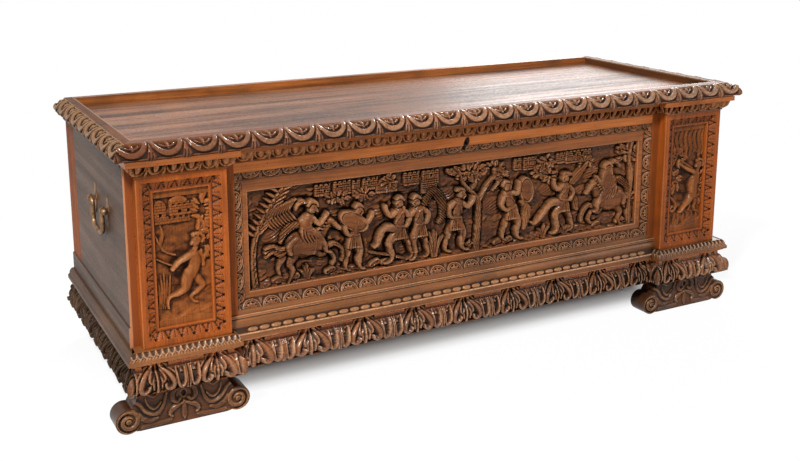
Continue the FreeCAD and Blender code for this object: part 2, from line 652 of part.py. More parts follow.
def makeBail(word, axis_x, middle):
    """A hanging U: its ends turn out through both eyes, its grip is straight with a bump in the middle."""
    arm = "(handle_half - bail_inset)"
    low = "(handle_height - bail_drop)"
    path = [
        (f"{middle} - (handle_half + bail_tail)", "handle_height"),
        (f"{middle} - ({arm} + bail_elbow)", "handle_height", "-bail_elbow"),
        (f"{middle} - {arm}", "handle_height - bail_elbow"),
        (f"{middle} - {arm}", f"{low} + bail_bend", "bail_bend"),
        (f"{middle} - ({arm} - bail_bend)", low),
        (f"{middle} + ({arm} - bail_bend)", low, "bail_bend"),
        (f"{middle} + {arm}", f"{low} + bail_bend"),
        (f"{middle} + {arm}", "handle_height - bail_elbow", "-bail_elbow"),
        (f"{middle} + ({arm} + bail_elbow)", "handle_height"),
        (f"{middle} + (handle_half + bail_tail)", "handle_height"),
    ]
    bar = bentBar(f"bail_{word}Bar", "YZ", path, axis_x, ("XZ", f"-({path[0][0]})"),
                  (axis_x, "handle_height"), "bail_bar")
    parts = [bar]
    for end, sign in (("Front", "-"), ("Rear", "+")):
        knob = doc.addObject("Part::Sphere", f"bail_{word}{end}Knob")
        bind(knob, "Radius", "bail_knob")
        place(knob, axis_x, f"{middle} {sign} (handle_half + bail_tail)", "handle_height")
        parts.append(knob)
    parts.append(rod(f"bail_{word}Bump", (axis_x, f"{middle} - bail_bump_width / 2", low),
                     "bail_bump", "bail_bump_width", ALONG_Y))
    name(join(f"bail_{word}", parts), f"bail_{word}")


def makeHinges():
    axis_y = f"({CASE_BACK} + knuckle_stand + knuckle_round)"
    axis_z = f"({CASE_TOP} + lid_gap / 2)"
    lid_leaves = []
    case_leaves = []
    pins = []
    for word, side in SIDES:
        middle = mirrored("hinge_place", side)

        def barrel(label, start, length):
            return rod(f"hinge{label}{word}", (start, axis_y, axis_z), "knuckle_round", length, ALONG_X)

        def bored(label, solids):
            bore = rod(f"{label}Bore", (f"{middle} - hinge_half - cut_overrun", axis_y, axis_z),
                       "pin_round + pin_clearance", "2 * (hinge_half + cut_overrun)", ALONG_X)
            return cut(label, join(f"{label}Whole", solids), bore)

        low = box(f"hingeCase{word}Plate",
                  (f"{middle} - hinge_half", CASE_BACK, f"{axis_z} - knuckle_round - leaf_plate_height"),
                  ("2 * hinge_half", "leaf_plate", "leaf_plate_height"))
        low_tab = box(f"hingeCase{word}Tab",
                      (f"{middle} - knuckle_half", CASE_BACK, f"{axis_z} - knuckle_round"),
                      ("2 * knuckle_half", "leaf_plate", "knuckle_round"))
        knuckle = barrel("CaseKnuckle", f"{middle} - knuckle_half", "2 * knuckle_half")
        case_leaves.append(bored(f"hingeCase{word}", [low, low_tab, knuckle]))
        solids = [box(f"hingeLid{word}Plate",
                      (f"{middle} - hinge_half", CASE_BACK, f"{axis_z} + knuckle_round"),
                      ("2 * hinge_half", "leaf_plate", "leaf_plate_height - knuckle_round"))]
        reach = "(hinge_half - knuckle_half - knuckle_gap)"
        for end, start in (("A", f"{middle} - hinge_half"), ("B", f"{middle} + knuckle_half + knuckle_gap")):
            solids.append(barrel(f"LidKnuckle{end}", start, reach))
            solids.append(box(f"hingeLid{word}Tab{end}", (start, CASE_BACK, axis_z),
                              (reach, "leaf_plate", "knuckle_round")))
        lid_leaves.append(bored(f"hingeLid{word}", solids))
        reach = "hinge_half + knuckle_gap + pin_head"
        shank = rod(f"hingePin{word}Shank", (f"{middle} - ({reach})", axis_y, axis_z), "pin_round",
                    f"2 * ({reach})", ALONG_X)
        heads = []
        for end, start in (("A", f"{middle} - ({reach})"), ("B", f"{middle} + hinge_half + knuckle_gap")):
            heads.append(rod(f"hingePin{word}Head{end}", (start, axis_y, axis_z),
                             "pin_round + pin_head", "pin_head", ALONG_X))
        pins.append(join(f"hingePin{word}Whole", [shank] + heads))
    for label, solids in (("hinge_lid_leaves", lid_leaves), ("hinge_case_leaves", case_leaves),
                          ("hinge_pins", pins)):
        pair = doc.addObject("Part::Compound", label)
        pair.Links = solids
        name(pair, label)


def makeLock():
    """A case behind the front, a bolt that slides along X in it, and a staple under the lid."""
    slot_half = "(staple_half + staple_clearance)"
    middle = f"({INNER_FRONT} + lock_thick / 2)"
    top = f"({CASE_TOP} - lock_top_gap)"
    bolt_z = f"({CASE_TOP} - staple_drop / 2)"
    body = box("lock_caseBlank", ("-lock_half", INNER_FRONT, f"{top} - lock_height"),
               ("2 * lock_half", "lock_thick", "lock_height"))
    slot = box("lock_caseSlot",
               (f"-{slot_half}", f"{middle} - staple_width / 2 - staple_clearance",
                f"{CASE_TOP} - staple_drop - staple_clearance"),
               (f"2 * {slot_half}", "staple_width + 2 * staple_clearance", "staple_drop + cut_overrun"))
    channel = box("lock_caseChannel",
                  (f"-{slot_half} - bolt_length - staple_clearance", f"{middle} - bolt_width / 2 - bolt_clearance",
                   f"{bolt_z} - bolt_height / 2 - bolt_clearance"),
                  ("bolt_length + bolt_throw + 2 * staple_clearance", "bolt_width + 2 * bolt_clearance",
                   "bolt_height + 2 * bolt_clearance"))
    name(cut("lock_case", body, join("lock_caseTool", [slot, channel])), "lock_case")
    board("lock_bolt", (f"-{slot_half} - bolt_length", f"{middle} - bolt_width / 2", f"{bolt_z} - bolt_height / 2"),
          ("bolt_length", "bolt_width", "bolt_height"))
    plate = box("lock_staplePlate",
                ("-staple_plate_half", f"{middle} - staple_plate_width / 2", f"{LID_FOOT} - staple_plate_thick"),
                ("2 * staple_plate_half", "staple_plate_width", "staple_plate_thick"))
    loop = box("lock_stapleLoop", ("-staple_half", f"{middle} - staple_width / 2", f"{CASE_TOP} - staple_drop"),
               ("2 * staple_half", "staple_width", "staple_drop"))
    eye = box("lock_stapleEye",
              ("-staple_half - cut_overrun", f"{middle} - staple_width / 2 + staple_side",
               f"{CASE_TOP} - staple_drop + staple_bar"),
              ("2 * (staple_half + cut_overrun)", "staple_width - 2 * staple_side", "staple_drop - 2 * staple_bar"))
    name(join("lock_staple", [plate, cut("lock_stapleBar", loop, eye)]), "lock_staple")


def check():
    doc.recompute()
    for thing in doc.Objects:
        if "Invalid" in thing.State or "Error" in thing.State:
            raise RuntimeError(f"{thing.Label} could not be built")
    for label, thing in LABELS:
        if thing.Shape.isNull() or not thing.Shape.isValid() or thing.Shape.Volume <= 0:
            raise RuntimeError(f"{label} has no sound shape")


def save():
    os.makedirs("parts", exist_ok=True)
    for label, thing in LABELS:
        thing.Shape.exportStep(f"parts/{label}.step")


makeBaseAndCornice()
makeCase()
makeFront()
panelMoulding()
makePilasters()
makeLid()
makeFeet()
makeHandles()
makeHinges()
makeLock()
check()
save()
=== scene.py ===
import bpy
import json
import numpy as np
from math import pi, radians
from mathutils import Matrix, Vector


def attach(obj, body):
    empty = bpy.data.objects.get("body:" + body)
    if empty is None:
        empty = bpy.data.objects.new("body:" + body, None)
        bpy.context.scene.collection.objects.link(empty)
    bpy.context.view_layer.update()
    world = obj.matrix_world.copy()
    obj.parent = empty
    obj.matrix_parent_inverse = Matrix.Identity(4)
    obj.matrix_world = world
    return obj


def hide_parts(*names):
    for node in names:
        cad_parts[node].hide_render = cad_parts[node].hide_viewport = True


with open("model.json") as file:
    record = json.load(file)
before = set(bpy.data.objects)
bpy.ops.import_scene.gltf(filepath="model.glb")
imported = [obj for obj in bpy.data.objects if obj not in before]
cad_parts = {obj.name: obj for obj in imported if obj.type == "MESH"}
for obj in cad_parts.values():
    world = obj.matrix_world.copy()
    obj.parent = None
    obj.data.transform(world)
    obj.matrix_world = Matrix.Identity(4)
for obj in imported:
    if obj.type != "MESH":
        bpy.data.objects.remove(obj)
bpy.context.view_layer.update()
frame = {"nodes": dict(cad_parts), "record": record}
mm = 0.001
nodes = frame["nodes"]

# camera: the photograph's own viewing point
view = {"place": (-1.293, -2.3432, 1.079), "turn": 0.493, "dip": 0.205, "lens": 46.94, "sensor": 36,
        "shiftY": -0.1256}
bpy.ops.object.camera_add(location=view["place"], rotation=(pi / 2 - view["dip"], 0, -view["turn"]))
camera = bpy.context.object
camera.name = "photoCamera"
camera.data.lens = view["lens"]
camera.data.sensor_width = view["sensor"]
camera.data.shift_y = view["shiftY"]
bpy.context.scene.camera = camera


# small steps that the finishes are put together from
def addNode(tree, kind, **sockets):
    node = tree.nodes.new(kind)
    for socket, value in sockets.items():
        node.inputs[socket].default_value = value
    return node


def noiseOn(tree, source, scale, detail=4.0, rough=0.55, warp=0.0):
    node = addNode(tree, "ShaderNodeTexNoise", Scale=scale, Detail=detail, Roughness=rough, Distortion=warp)
    tree.links.new(source, node.inputs["Vector"])
    return node.outputs["Fac"]


def rangeOf(tree, source, low, high, start=0.0, end=1.0):
    node = tree.nodes.new("ShaderNodeMapRange")
    for socket, value in zip(("From Min", "From Max", "To Min", "To Max"), (low, high, start, end)):
        node.inputs[socket].default_value = value
    tree.links.new(source, node.inputs["Value"])
    return node.outputs["Result"]


def sums(tree, kind, a, b):
    node = tree.nodes.new("ShaderNodeMath")
    node.operation = kind
    for place, value in enumerate((a, b)):
        if isinstance(value, (int, float)):
            node.inputs[place].default_value = value
        else:
            tree.links.new(value, node.inputs[place])
    return node.outputs[0]


def blendColour(tree, share, a, b):
    node = tree.nodes.new("ShaderNodeMix")
    node.data_type = "RGBA"
    for socket, value in ((node.inputs[0], share), (node.inputs[6], a), (node.inputs[7], b)):
        if isinstance(value, (int, float)):
            socket.default_value = value
        elif isinstance(value, tuple):
            socket.default_value = (*value, 1)
        else:
            tree.links.new(value, socket)
    return node.outputs[2]


def finish(label):
    paint = bpy.data.materials.new(label)
    paint.use_nodes = True
    tree = paint.node_tree
    return paint, tree, tree.nodes["Principled BSDF"]


# the grain runs along the named axis: scales of the broad streaks and of the fine fibres
grainScale = {"X": ((1.3, 26, 26), (9, 380, 380)), "Y": ((26, 1.3, 26), (380, 9, 380)),
              "Z": ((26, 26, 1.3), (380, 380, 9))}
# the old surface: scales of its noises, and how strongly each one shows; hollowShare sets how dark the painted shade in
# the hollows gets
oldWood = {"cloudScale": 4.5, "gritScale": 160, "stainScale": 2.7, "streakPart": 0.62, "cloudPart": 0.38,
           "fibreShare": 0.45, "stainShare": 0.55, "gritShare": 0.6, "hollowShare": 0.93, "hollowRough": 0.30,
           "bump": 0.25, "bumpDepth": 0.0012}


def walnut(label, light, dark, deep, wornAndHighlit, grain, rough, figure=1.0, wearAndHighlightShare=0.30, sheen=0.16, spread=0.16,
           frontTint=None, marks=(), plainRough=0.0, highlightAlongX=None):
    paint, tree, shader = finish(label)
    shader.inputs["Specular IOR Level"].default_value = sheen
    place = tree.nodes.new("ShaderNodeTexCoord").outputs["Object"]

    def times(a, b):
        return sums(tree, "MULTIPLY", a, b)

    def plus(a, b):
        return sums(tree, "ADD", a, b)

    streakMap = addNode(tree, "ShaderNodeMapping", Scale=grainScale[grain][0])
    fibreMap = addNode(tree, "ShaderNodeMapping", Scale=grainScale[grain][1])
    tree.links.new(place, streakMap.inputs["Vector"])
    tree.links.new(place, fibreMap.inputs["Vector"])
    streaks = noiseOn(tree, streakMap.outputs[0], figure, 6, 0.62, 0.8)
    fibres = noiseOn(tree, fibreMap.outputs[0], 1.0, 3, 0.6)
    clouds = noiseOn(tree, place, oldWood["cloudScale"], 4, 0.6, 0.4)
    grit = noiseOn(tree, place, oldWood["gritScale"], 3, 0.7)
    tone = times(rangeOf(tree, streaks, 0.5 - spread, 0.5 + spread), oldWood["streakPart"])
    tone = plus(tone, times(rangeOf(tree, clouds, 0.3, 0.7), oldWood["cloudPart"]))
    colour = blendColour(tree, tone, light, dark)
    colour = blendColour(tree, rangeOf(tree, fibres, 0.42, 0.75, 0.0, oldWood["fibreShare"]), colour, deep)
    stains = noiseOn(tree, place, oldWood["stainScale"], 4, 0.65, 0.5)
    colour = blendColour(tree, rangeOf(tree, stains, 0.48, 0.72, 0.0, oldWood["stainShare"]), colour, deep)
    colour = blendColour(tree, rangeOf(tree, grit, 0.64, 0.70, 0.0, oldWood["gritShare"]), colour, deep)
    if frontTint:
        facing = tree.nodes.new("ShaderNodeSeparateXYZ")
        tree.links.new(tree.nodes.new("ShaderNodeNewGeometry").outputs["Normal"], facing.inputs[0])
        colour = blendColour(tree, sums(tree, "LESS_THAN", facing.outputs["Y"], -0.5), colour, frontTint)
    for centre, half, slant, tint, share in marks:
        # a spot with a tint of its own, strongest in the middle: painted highlights, painted shade and a coloured band,
        # as listed in ownMarks
        reach = addNode(tree, "ShaderNodeMapping", Location=centre, Rotation=(0, slant, 0), Scale=half)
        reach.vector_type = "TEXTURE"
        tree.links.new(place, reach.inputs["Vector"])
        away = tree.nodes.new("ShaderNodeVectorMath")
        away.operation = "LENGTH"
        tree.links.new(reach.outputs[0], away.inputs[0])
        ragged = plus(away.outputs["Value"], rangeOf(tree, clouds, 0.3, 0.7, -0.25, 0.25))
        colour = blendColour(tree, rangeOf(tree, ragged, 0.75, 1.1, share, 0.0), colour, tint)
    crest = addNode(tree, "ShaderNodeAttribute")
    crest.attribute_name = "crest"
    hollow = addNode(tree, "ShaderNodeAttribute")
    hollow.attribute_name = "hollow"
    # wear and painted highlight: the crests go towards the worn colour, which also stands for the light they catch
    wearAndHighlight = times(crest.outputs["Fac"], rangeOf(tree, grit, 0.35, 0.6, 0.35, 1.0))
    if highlightAlongX:
        # painted reflection: the wear and painted highlight fade towards one end
        side = tree.nodes.new("ShaderNodeSeparateXYZ")
        tree.links.new(place, side.inputs[0])
        wearAndHighlight = times(wearAndHighlight, rangeOf(tree, side.outputs["X"], *highlightAlongX))
    colour = blendColour(tree, times(wearAndHighlight, wearAndHighlightShare), colour, wornAndHighlit)
    # painted shade: the colour goes towards the deep colour in the hollows, where shade falls
    paintedShade = times(hollow.outputs["Fac"], rangeOf(tree, clouds, 0.25, 0.7, 0.8, 1.0))
    colour = blendColour(tree, times(paintedShade, oldWood["hollowShare"]), colour, deep)
    tree.links.new(colour, shader.inputs["Base Color"])
    gloss = rangeOf(tree, plus(times(streaks, 0.5), times(grit, 0.5)), 0.35, 0.65, *rough)
    gloss = plus(gloss, times(hollow.outputs["Fac"], oldWood["hollowRough"]))
    if plainRough:
        # only the handled crests shine
        gloss = plus(gloss, times(sums(tree, "SUBTRACT", 1.0, crest.outputs["Fac"]), plainRough))
    tree.links.new(gloss, shader.inputs["Roughness"])
    bump = addNode(tree, "ShaderNodeBump", Strength=oldWood["bump"], Distance=oldWood["bumpDepth"])
    tree.links.new(plus(fibres, times(grit, 0.6)), bump.inputs["Height"])
    tree.links.new(bump.outputs["Normal"], shader.inputs["Normal"])
    return paint


# carving: heights in mm over a place u along a run and v across it
def dome(d, half, rise):
    return rise * np.sqrt(np.clip(1 - (d / half) ** 2, 0, 1))


def smoothLine(points, steps):
    # a curve through points, with steps places from each one to the next
    p = np.array([points[0]] + list(points) + [points[-1]], float)
    line = []
    for i in range(1, len(p) - 2):
        for t in np.linspace(0, 1, steps, endpoint=False):
            line.append(0.5 * (2 * p[i] + (p[i + 1] - p[i - 1]) * t
                               + (2 * p[i - 1] - 5 * p[i] + 4 * p[i + 1] - p[i + 2]) * t ** 2
                               + (3 * p[i] - p[i - 1] - 3 * p[i + 1] + p[i + 2]) * t ** 3))
    return line + [p[-1]]


def bandThrough(x, z, points, rise, flat=0.5, steps=5):
    # a rounded band through points (x, z, half width), smooth between them
    line = smoothLine(points, steps)
    best = np.full(np.shape(x), 9.0)
    for a, b in zip(line, line[1:]):
        dx, dz = b[0] - a[0], b[1] - a[1]
        t = np.clip(((x - a[0]) * dx + (z - a[1]) * dz) / (dx * dx + dz * dz + 1e-9), 0, 1)
        away = np.hypot(x - a[0] - t * dx, z - a[1] - t * dz)
        best = np.minimum(best, away / np.maximum(a[2] + (b[2] - a[2]) * t, .1))
    return rise * np.clip(1 - best ** 2, 0, 1) ** flat


def banded(h, x, z, *bands):
    # h with bands laid on it, each (the ground it stands on, its rise, its points)
    for ground, rise, points in bands:
        h = np.maximum(h, ground + bandThrough(x, z, points, rise))
    return h


def petal(x, z, ax, az, bx, bz, half, rise, vein=0.0):
    # a pointed leaf from a to b
    dx, dz = bx - ax, bz - az
    n = np.hypot(dx, dz)
    t = ((x - ax) * dx + (z - az) * dz) / n / n
    s = ((x - ax) * dz - (z - az) * dx) / n
    w = half * np.sin(pi * np.clip(t, 0, 1) ** 0.75) + 1e-6
    inside = (t > 0) & (t < 1)
    h = rise * np.sqrt(np.clip(1 - (s / w) ** 2, 0, 1)) * inside
    return h - vein * np.exp(-(s / 0.9) ** 2) * inside * (t > .08) * (t < .85)


def cellOf(u, pitch, start):
    # which repeat a place is in, and how far from its middle
    cell = np.round((u - start) / pitch)
    return cell.astype(int), u - start - cell * pitch


def lunetteCarving(u, v, length, trim):
    # lid edge: broad banded lunettes, a three lobed leaf in each, a dart between two
    cell, c = cellOf(u, trim["pitch"], trim["start"])
    drift = np.random.default_rng(5).normal(0, .6, 64)
    c = c + drift[cell % 64]
    ground = -6.0
    r = np.hypot(c / 35.5, (v - length - 1) / (length - 6.5))
    h = np.full(u.shape, ground - 2.0)
    h = np.maximum(h, np.minimum(ground + dome(r - .845, .165, 8.2), .6 - 1.6 * np.clip((.84 - r) / .15, 0, 1)))
    top = length
    leaf = bandThrough(c, v, [(0, top - 2, 3.4), (1, top - 9, 5.2), (0, top - 16, 3.8), (0, top - 24, 2.6)], 5.6)
    for side in (-1, 1):
        leaf = banded(leaf, c * side, v,
                      (0, 4.4, [(2, top - 19, 2.2), (8, top - 17, 3.2), (14, top - 11, 3.6), (15, top - 6, 2.4)]),
                      (0, 3.2, [(2, top - 23, 1.8), (7, top - 25, 2.4), (11, top - 22, 1.8)]))
    h = np.where(r < .615, np.where(leaf > 0.2, ground - 2.0 + leaf * 1.1, ground - 5.0), h)
    e = trim["pitch"] / 2 - np.abs(c)
    t = np.clip(v / (length - 13), 0, 1)
    w = 10.5 * (1 - t) ** 0.75 + 1.8
    dart = dome(e, w, 5.6) - 3.0 * np.exp(-((e - 3.2) / 1.2) ** 2) * (t < .5)
    h = np.maximum(h, np.where((r > 1.035) & (v < length - 9), ground + dart, -99))
    h = np.where(v > length - 2.2, np.maximum(h, -1.4), h)
    return np.where(v < 2.0, np.maximum(h, -2.6), h)


def tongueCarving(u, v, length, trim):
    # cornice: tongues in shells, with a dart between two
    c = cellOf(u, trim["pitch"], trim["start"])[1]
    tongue = 6.2 * np.sqrt(np.clip(1 - (c / 6.7) ** 2 - ((v - length - 1) / (length - 1.5)) ** 2, 0, 1))
    r = np.hypot(c / 17.4, (v - length - 1) / (length + .5))
    h = np.maximum(-6.0 + tongue, -6.0 + dome(r - .93, .09, 5.4))
    h = np.where((r < .83) & (tongue <= 0), -9.0, h)
    e = trim["pitch"] / 2 - np.abs(c)
    dart = dome(e, 1.2 + 2.6 * np.clip(1 - v / length, 0, 1), 5.0)
    h = np.maximum(h, np.where(r > 1.04, -6.5 + dart, -99))
    return np.where(v > length - 1.3, np.maximum(h, -1.2), h)


def fanCarving(u, v, length, trim):
    # panel moulding: double ringed lunettes with a fan of leaves, a spear between two
    c = cellOf(u, trim["pitch"], trim["start"])[1]
    half = trim["pitch"] / 2
    r = np.hypot(c / (half - 2), v / (length - 1.0))
    h = np.maximum(-3.8 + dome(r - .92, .08, 3.8), -3.8 + dome(r - .74, .06, 2.8))
    fan = petal(c, v, 0, 1, 0, length * .66, 4.0, 3.4, .8)
    for side in (-1, 1):
        fan = np.maximum(fan, petal(c * side, v, 0, 1, 11.0, length * .50, 3.6, 3.2, .8))
        fan = np.maximum(fan, bandThrough(c * side, v, [(2, 1.5, 1.5), (12, 2.2, 2.2)], 2.6))
    h = np.where(r < .68, np.where(fan > .2, -4.6 + fan * 1.25, -6.5), h)
    e = half - np.abs(c)
    spear = dome(e, 1.0 + 6.5 * np.clip((v - 3) / length, 0, 1) ** 1.2, 3.4) - 1.2 * np.exp(-(e / .9) ** 2)
    h = np.maximum(h, np.where(r > 1.03, -4.6 + spear, -99))
    h = np.where(v > length - 1.2, np.maximum(h, -1.0), h)
    h = np.where(v < 1.2, np.maximum(h, -1.0), h)
    return np.where((np.abs(u + .2 * v - 1) < 4.6) & (v < trim.get("slot", 0)), -18.0, h)


def toothCarving(u, v, length, trim):
    # pilaster frame: serrated leaves side by side, a drilled hole between their shoulders
    c = cellOf(u, trim["pitch"], trim["start"])[1]
    half = trim["pitch"] / 2
    t = np.clip(v / length, 0, 1)
    saw = np.abs(((v / 5.6) % 1) - .5) * 2
    w = np.maximum(half * (1 - .46 * t ** 1.5) - 2.4 * saw * (t > .12), .1)
    leaf = dome(c, w, 3.8) - 1.6 * np.exp(-(c / 1.1) ** 2) * (t > .15)
    leaf = leaf + .5 * np.cos((v - np.abs(c) * .8) * 2 * pi / 5.6) * (leaf > .5)
    h = np.maximum(-3.8 + leaf, -3.0)
    e = half - np.abs(c)
    under = dome(e, .3 + half * .36 * np.clip((t - .36) / .64, 0, 1), 2.4) - 1.0 * np.exp(-(e / .8) ** 2)
    h = np.maximum(h, np.where(t > .36, -3.4 + under, -99))
    h = np.where(np.hypot(e, v - length * .17) < 2.9, -8.0, h)
    return np.where(v < 1.0, np.maximum(h, -.8), h)


def planedCarving(u, v, length, trim):
    # a plain moulding, left a little wavy by the plane
    return .25 * np.sin(u / 41.0 + np.sin(u / 13.0)) * np.ones_like(v)


def scallopCarving(u, v, length, trim):
    # cap over the pilasters' base: a row of small hollow scallops
    c = cellOf(u, trim["pitch"], trim["start"])[1]
    r = np.hypot(c / (trim["pitch"] * .5), (v - length) / length)
    h = np.where(r < 1, -3.6 + 2.4 * r ** 2, -3.2)
    h = np.maximum(h, -3.0 + dome(r - .95, .12, 3.0))
    e = trim["pitch"] / 2 - np.abs(c)
    return np.maximum(h, np.where(r > 1.05, -3.2 + dome(e, 3.0 * (1 - v / length) + .2, 2.4), -99))


def acanthusCarving(u, v, length, trim):
    # base: a leaf that hooks under at both sides, then a scroll round a slot, a pair of reeds, a scroll
    cell, c = cellOf(u, trim["pitch"], trim["start"])
    drift = np.random.default_rng(9).normal(0, 1, (64, 3))
    a = np.abs(c) + drift[cell % 64, 0] * .5
    half, high = trim["pitch"] / 2, length
    t = v / high
    h = -13.0 + 10.0 * np.clip((t - .74) / .12, 0, 1)
    # leaf ground, fluted
    inLeaf = (a < 40 - 12 * t) & (t > .08)
    h = np.where(inLeaf, -9.0 + 1.3 * np.cos((a - 12 * (1 - t)) * 2 * pi / 7.5), h)
    # the outer rib, down and round into a hook, then its inner lobes and its outer ones at the top
    h = banded(h, a, v,
               (-13, 13.5, [(8, .98 * high, 3.6), (19, .80 * high, 5.4), (30, .56 * high, 6.8), (36.5, .30 * high, 6.6),
                            (34, .12 * high, 5.6), (26, .07 * high, 5.0), (19, .15 * high, 4.6),
                            (17, .26 * high, 3.4)]),
               (-13, 10.0, [(8, .90 * high, 2.6), (15, .66 * high, 4.0), (17, .48 * high, 3.4), (14, .38 * high, 2.2)]),
               (-13, 9.0, [(5.5, .62 * high, 2.0), (10, .42 * high, 3.4), (9, .24 * high, 3.2), (8, .12 * high, 2.0)]),
               (-13, 9.5, [(17, .98 * high, 2.4), (28, .88 * high, 4.0), (37, .72 * high, 3.8),
                           (42, .56 * high, 2.4)]))
    # dark cuts: beside the stem, and inside the hook
    h = np.minimum(h, -6 - 8 * np.exp(-((a - 4.6) / 1.5) ** 2) + 12 * np.clip((a - 5.5) / 3, 0, 1) + 20 * (t > .8))
    cut = bandThrough(a, v, [(17, .40 * high, 1.2), (22, .33 * high, 2.4), (27, .25 * high, 2.0),
                             (28, .19 * high, 1.0)], 1.0)
    h = np.where(cut > .1, -15.0, h)
    h = np.maximum(h, np.where(a < 3, -12.5 + dome(a, 1.9 + 1.3 * (1 - t), 9.0), -99))
    # scroll round a slot beside the reeds
    s = half - 14.5
    h = banded(h, a, v, (-13, 11.5, [
        (s - 4, .80 * high, 2.6), (s - 9, .90 * high, 3.0), (s - 11.5, .76 * high, 3.2), (s - 10.5, .50 * high, 3.6),
        (s - 9.5, .26 * high, 4.2), (s - 5, .08 * high, 4.6), (s + 2, .06 * high, 4.4), (s + 7, .20 * high, 3.6),
        (s + 8, .48 * high, 3.0), (s + 7.5, .76 * high, 2.6), (s + 5, .96 * high, 2.2)]))
    slot = np.hypot((a - s + .5) / 4.6, (v - .40 * high) / (.20 * high))
    h = np.where(slot < 1, -18.0, h)
    h = np.maximum(h, np.where((np.abs(a - s - .5) < 4.5) & (t > .62), -8.5 + dome(a - s - .5, 4.5, 2.5), -99))
    # the pair of reeds
    e = half - a
    h = np.maximum(h, np.where(e < 6.2, -11 + dome(e - 2.9, 2.6, 9.0), -99))
    # a leaf over the mitre at each corner
    for corner in trim["corners"]:
        e = np.abs(u - corner)
        belly = np.sin(pi * np.clip(t, 0, 1))
        h = np.maximum(h, np.where(t > .05, -13 + dome(e, 5.0 + 5.0 * belly ** .7, 13.0), -99))
        h = np.where(np.abs(e - 8.5 - 3 * belly) < 1.4, np.minimum(h, -12.0), h)
    return h


# runs of moulding: each one is a grid bent to its section and pushed in by the carving
def arcOf(centre, radius, start, end, count=14):
    return [(centre[0] + radius * np.cos(radians(a)), centre[1] + radius * np.sin(radians(a)))
            for a in np.linspace(start, end, count)]


def resampled(points, spacing):
    # even steps along a line, with how far each one is and which way out is
    p = np.array(points, float)
    lengths = np.concatenate([[0], np.cumsum(np.hypot(*np.diff(p, axis=0).T))])
    s = np.linspace(0, lengths[-1], max(2, int(round(lengths[-1] / spacing)) + 1))
    q = np.column_stack([np.interp(s, lengths, p[:, 0]), np.interp(s, lengths, p[:, 1])])
    d = np.gradient(q, s, axis=0)
    n = np.column_stack([d[:, 1], -d[:, 0]])
    return q, s, n / np.linalg.norm(n, axis=1, keepdims=True), lengths[-1]


def blurred(h, reach):
    for axis in (0, 1):
        total = np.zeros_like(h)
        for k in range(-reach, reach + 1):
            index = np.clip(np.arange(h.shape[axis]) + k, 0, h.shape[axis] - 1)
            total += np.take(h, index, axis=axis)
        h = total / (2 * reach + 1)
    return h


# how a carving's heights become painted shade in its hollows, and wear with painted highlights on its crests: lengths
# in mm, parts of the carving's depth
paintedLightAndWear = {"nearReach": 2.5, "low": 2.8, "deep": 1.6, "deepFrom": .25, "crestPart": .25, "crestFrom": .15,
          "toolMarks": .22, "cutThrough": -14, "shadeBelowEdge": 1.6, "highlightEdge": 1.2}


def paintedLightAndWearOf(h, spacing, depth, reach=7):
    # how deep a place lies under its surroundings, which is painted as shade, and how far it stands out, which is
    # painted as wear and highlight
    wide = blurred(h, max(2, int(round(reach / spacing))))
    near = blurred(h, max(1, int(round(paintedLightAndWear["nearReach"] / spacing))))
    low = paintedLightAndWear["low"] * (wide - h) / depth + paintedLightAndWear["deep"] * np.clip(-h / depth - paintedLightAndWear["deepFrom"], 0, 1)
    return np.clip(low, 0, 1), np.clip((h - near) / (depth * paintedLightAndWear["crestPart"]) - paintedLightAndWear["crestFrom"], 0, 1)


def storePaintedLightAndWear(piece, hollow, crest):
    # what the walnut finish reads: hollow, where it paints shade, and crest, where it paints wear and highlights
    for name, values in (("hollow", hollow), ("crest", crest)):
        layer = piece.data.attributes.new(name, "FLOAT", "POINT")
        layer.data.foreach_set("value", values.reshape(-1).astype(np.float32))


def gridOf(label, columns, rows, places, hollow, crest):
    # a grid primitive with its vertices set to places, an array of rows x columns x 3 in mm
    bpy.ops.object.select_all(action="DESELECT")
    bpy.ops.mesh.primitive_grid_add(x_subdivisions=columns - 1, y_subdivisions=rows - 1, size=1)
    piece = bpy.context.object
    piece.name = label
    piece.data.vertices.foreach_set("co", (places.reshape(-1) * mm).astype(np.float32))
    storePaintedLightAndWear(piece, hollow, crest)
    return piece


def pick(pieces):
    bpy.ops.object.select_all(action="DESELECT")
    for piece in pieces:
        piece.select_set(True)
    bpy.context.view_layer.objects.active = pieces[0]


mergeReach = 0.004 * mm  # vertices closer than this become one


def closedUp(piece, smooth=50):
    pick([piece])
    bpy.ops.object.mode_set(mode="EDIT")
    bpy.ops.mesh.select_all(action="SELECT")
    bpy.ops.mesh.remove_doubles(threshold=mergeReach)
    bpy.ops.mesh.select_all(action="DESELECT")
    bpy.ops.mesh.select_non_manifold()
    bpy.ops.mesh.fill_holes(sides=0)
    bpy.ops.mesh.select_all(action="SELECT")
    bpy.ops.mesh.normals_make_consistent(inside=False)
    bpy.ops.object.mode_set(mode="OBJECT")
    bpy.ops.object.shade_smooth_by_angle(angle=radians(smooth))
    return piece


def joined(label, pieces):
    pick(pieces)
    bpy.ops.object.join()
    pieces[0].name = label
    return pieces[0]


def dress(piece, body, paint, replaced=()):
    piece.data.materials.clear()
    piece.data.materials.append(paint)
    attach(piece, body)
    if replaced:
        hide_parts(*replaced)


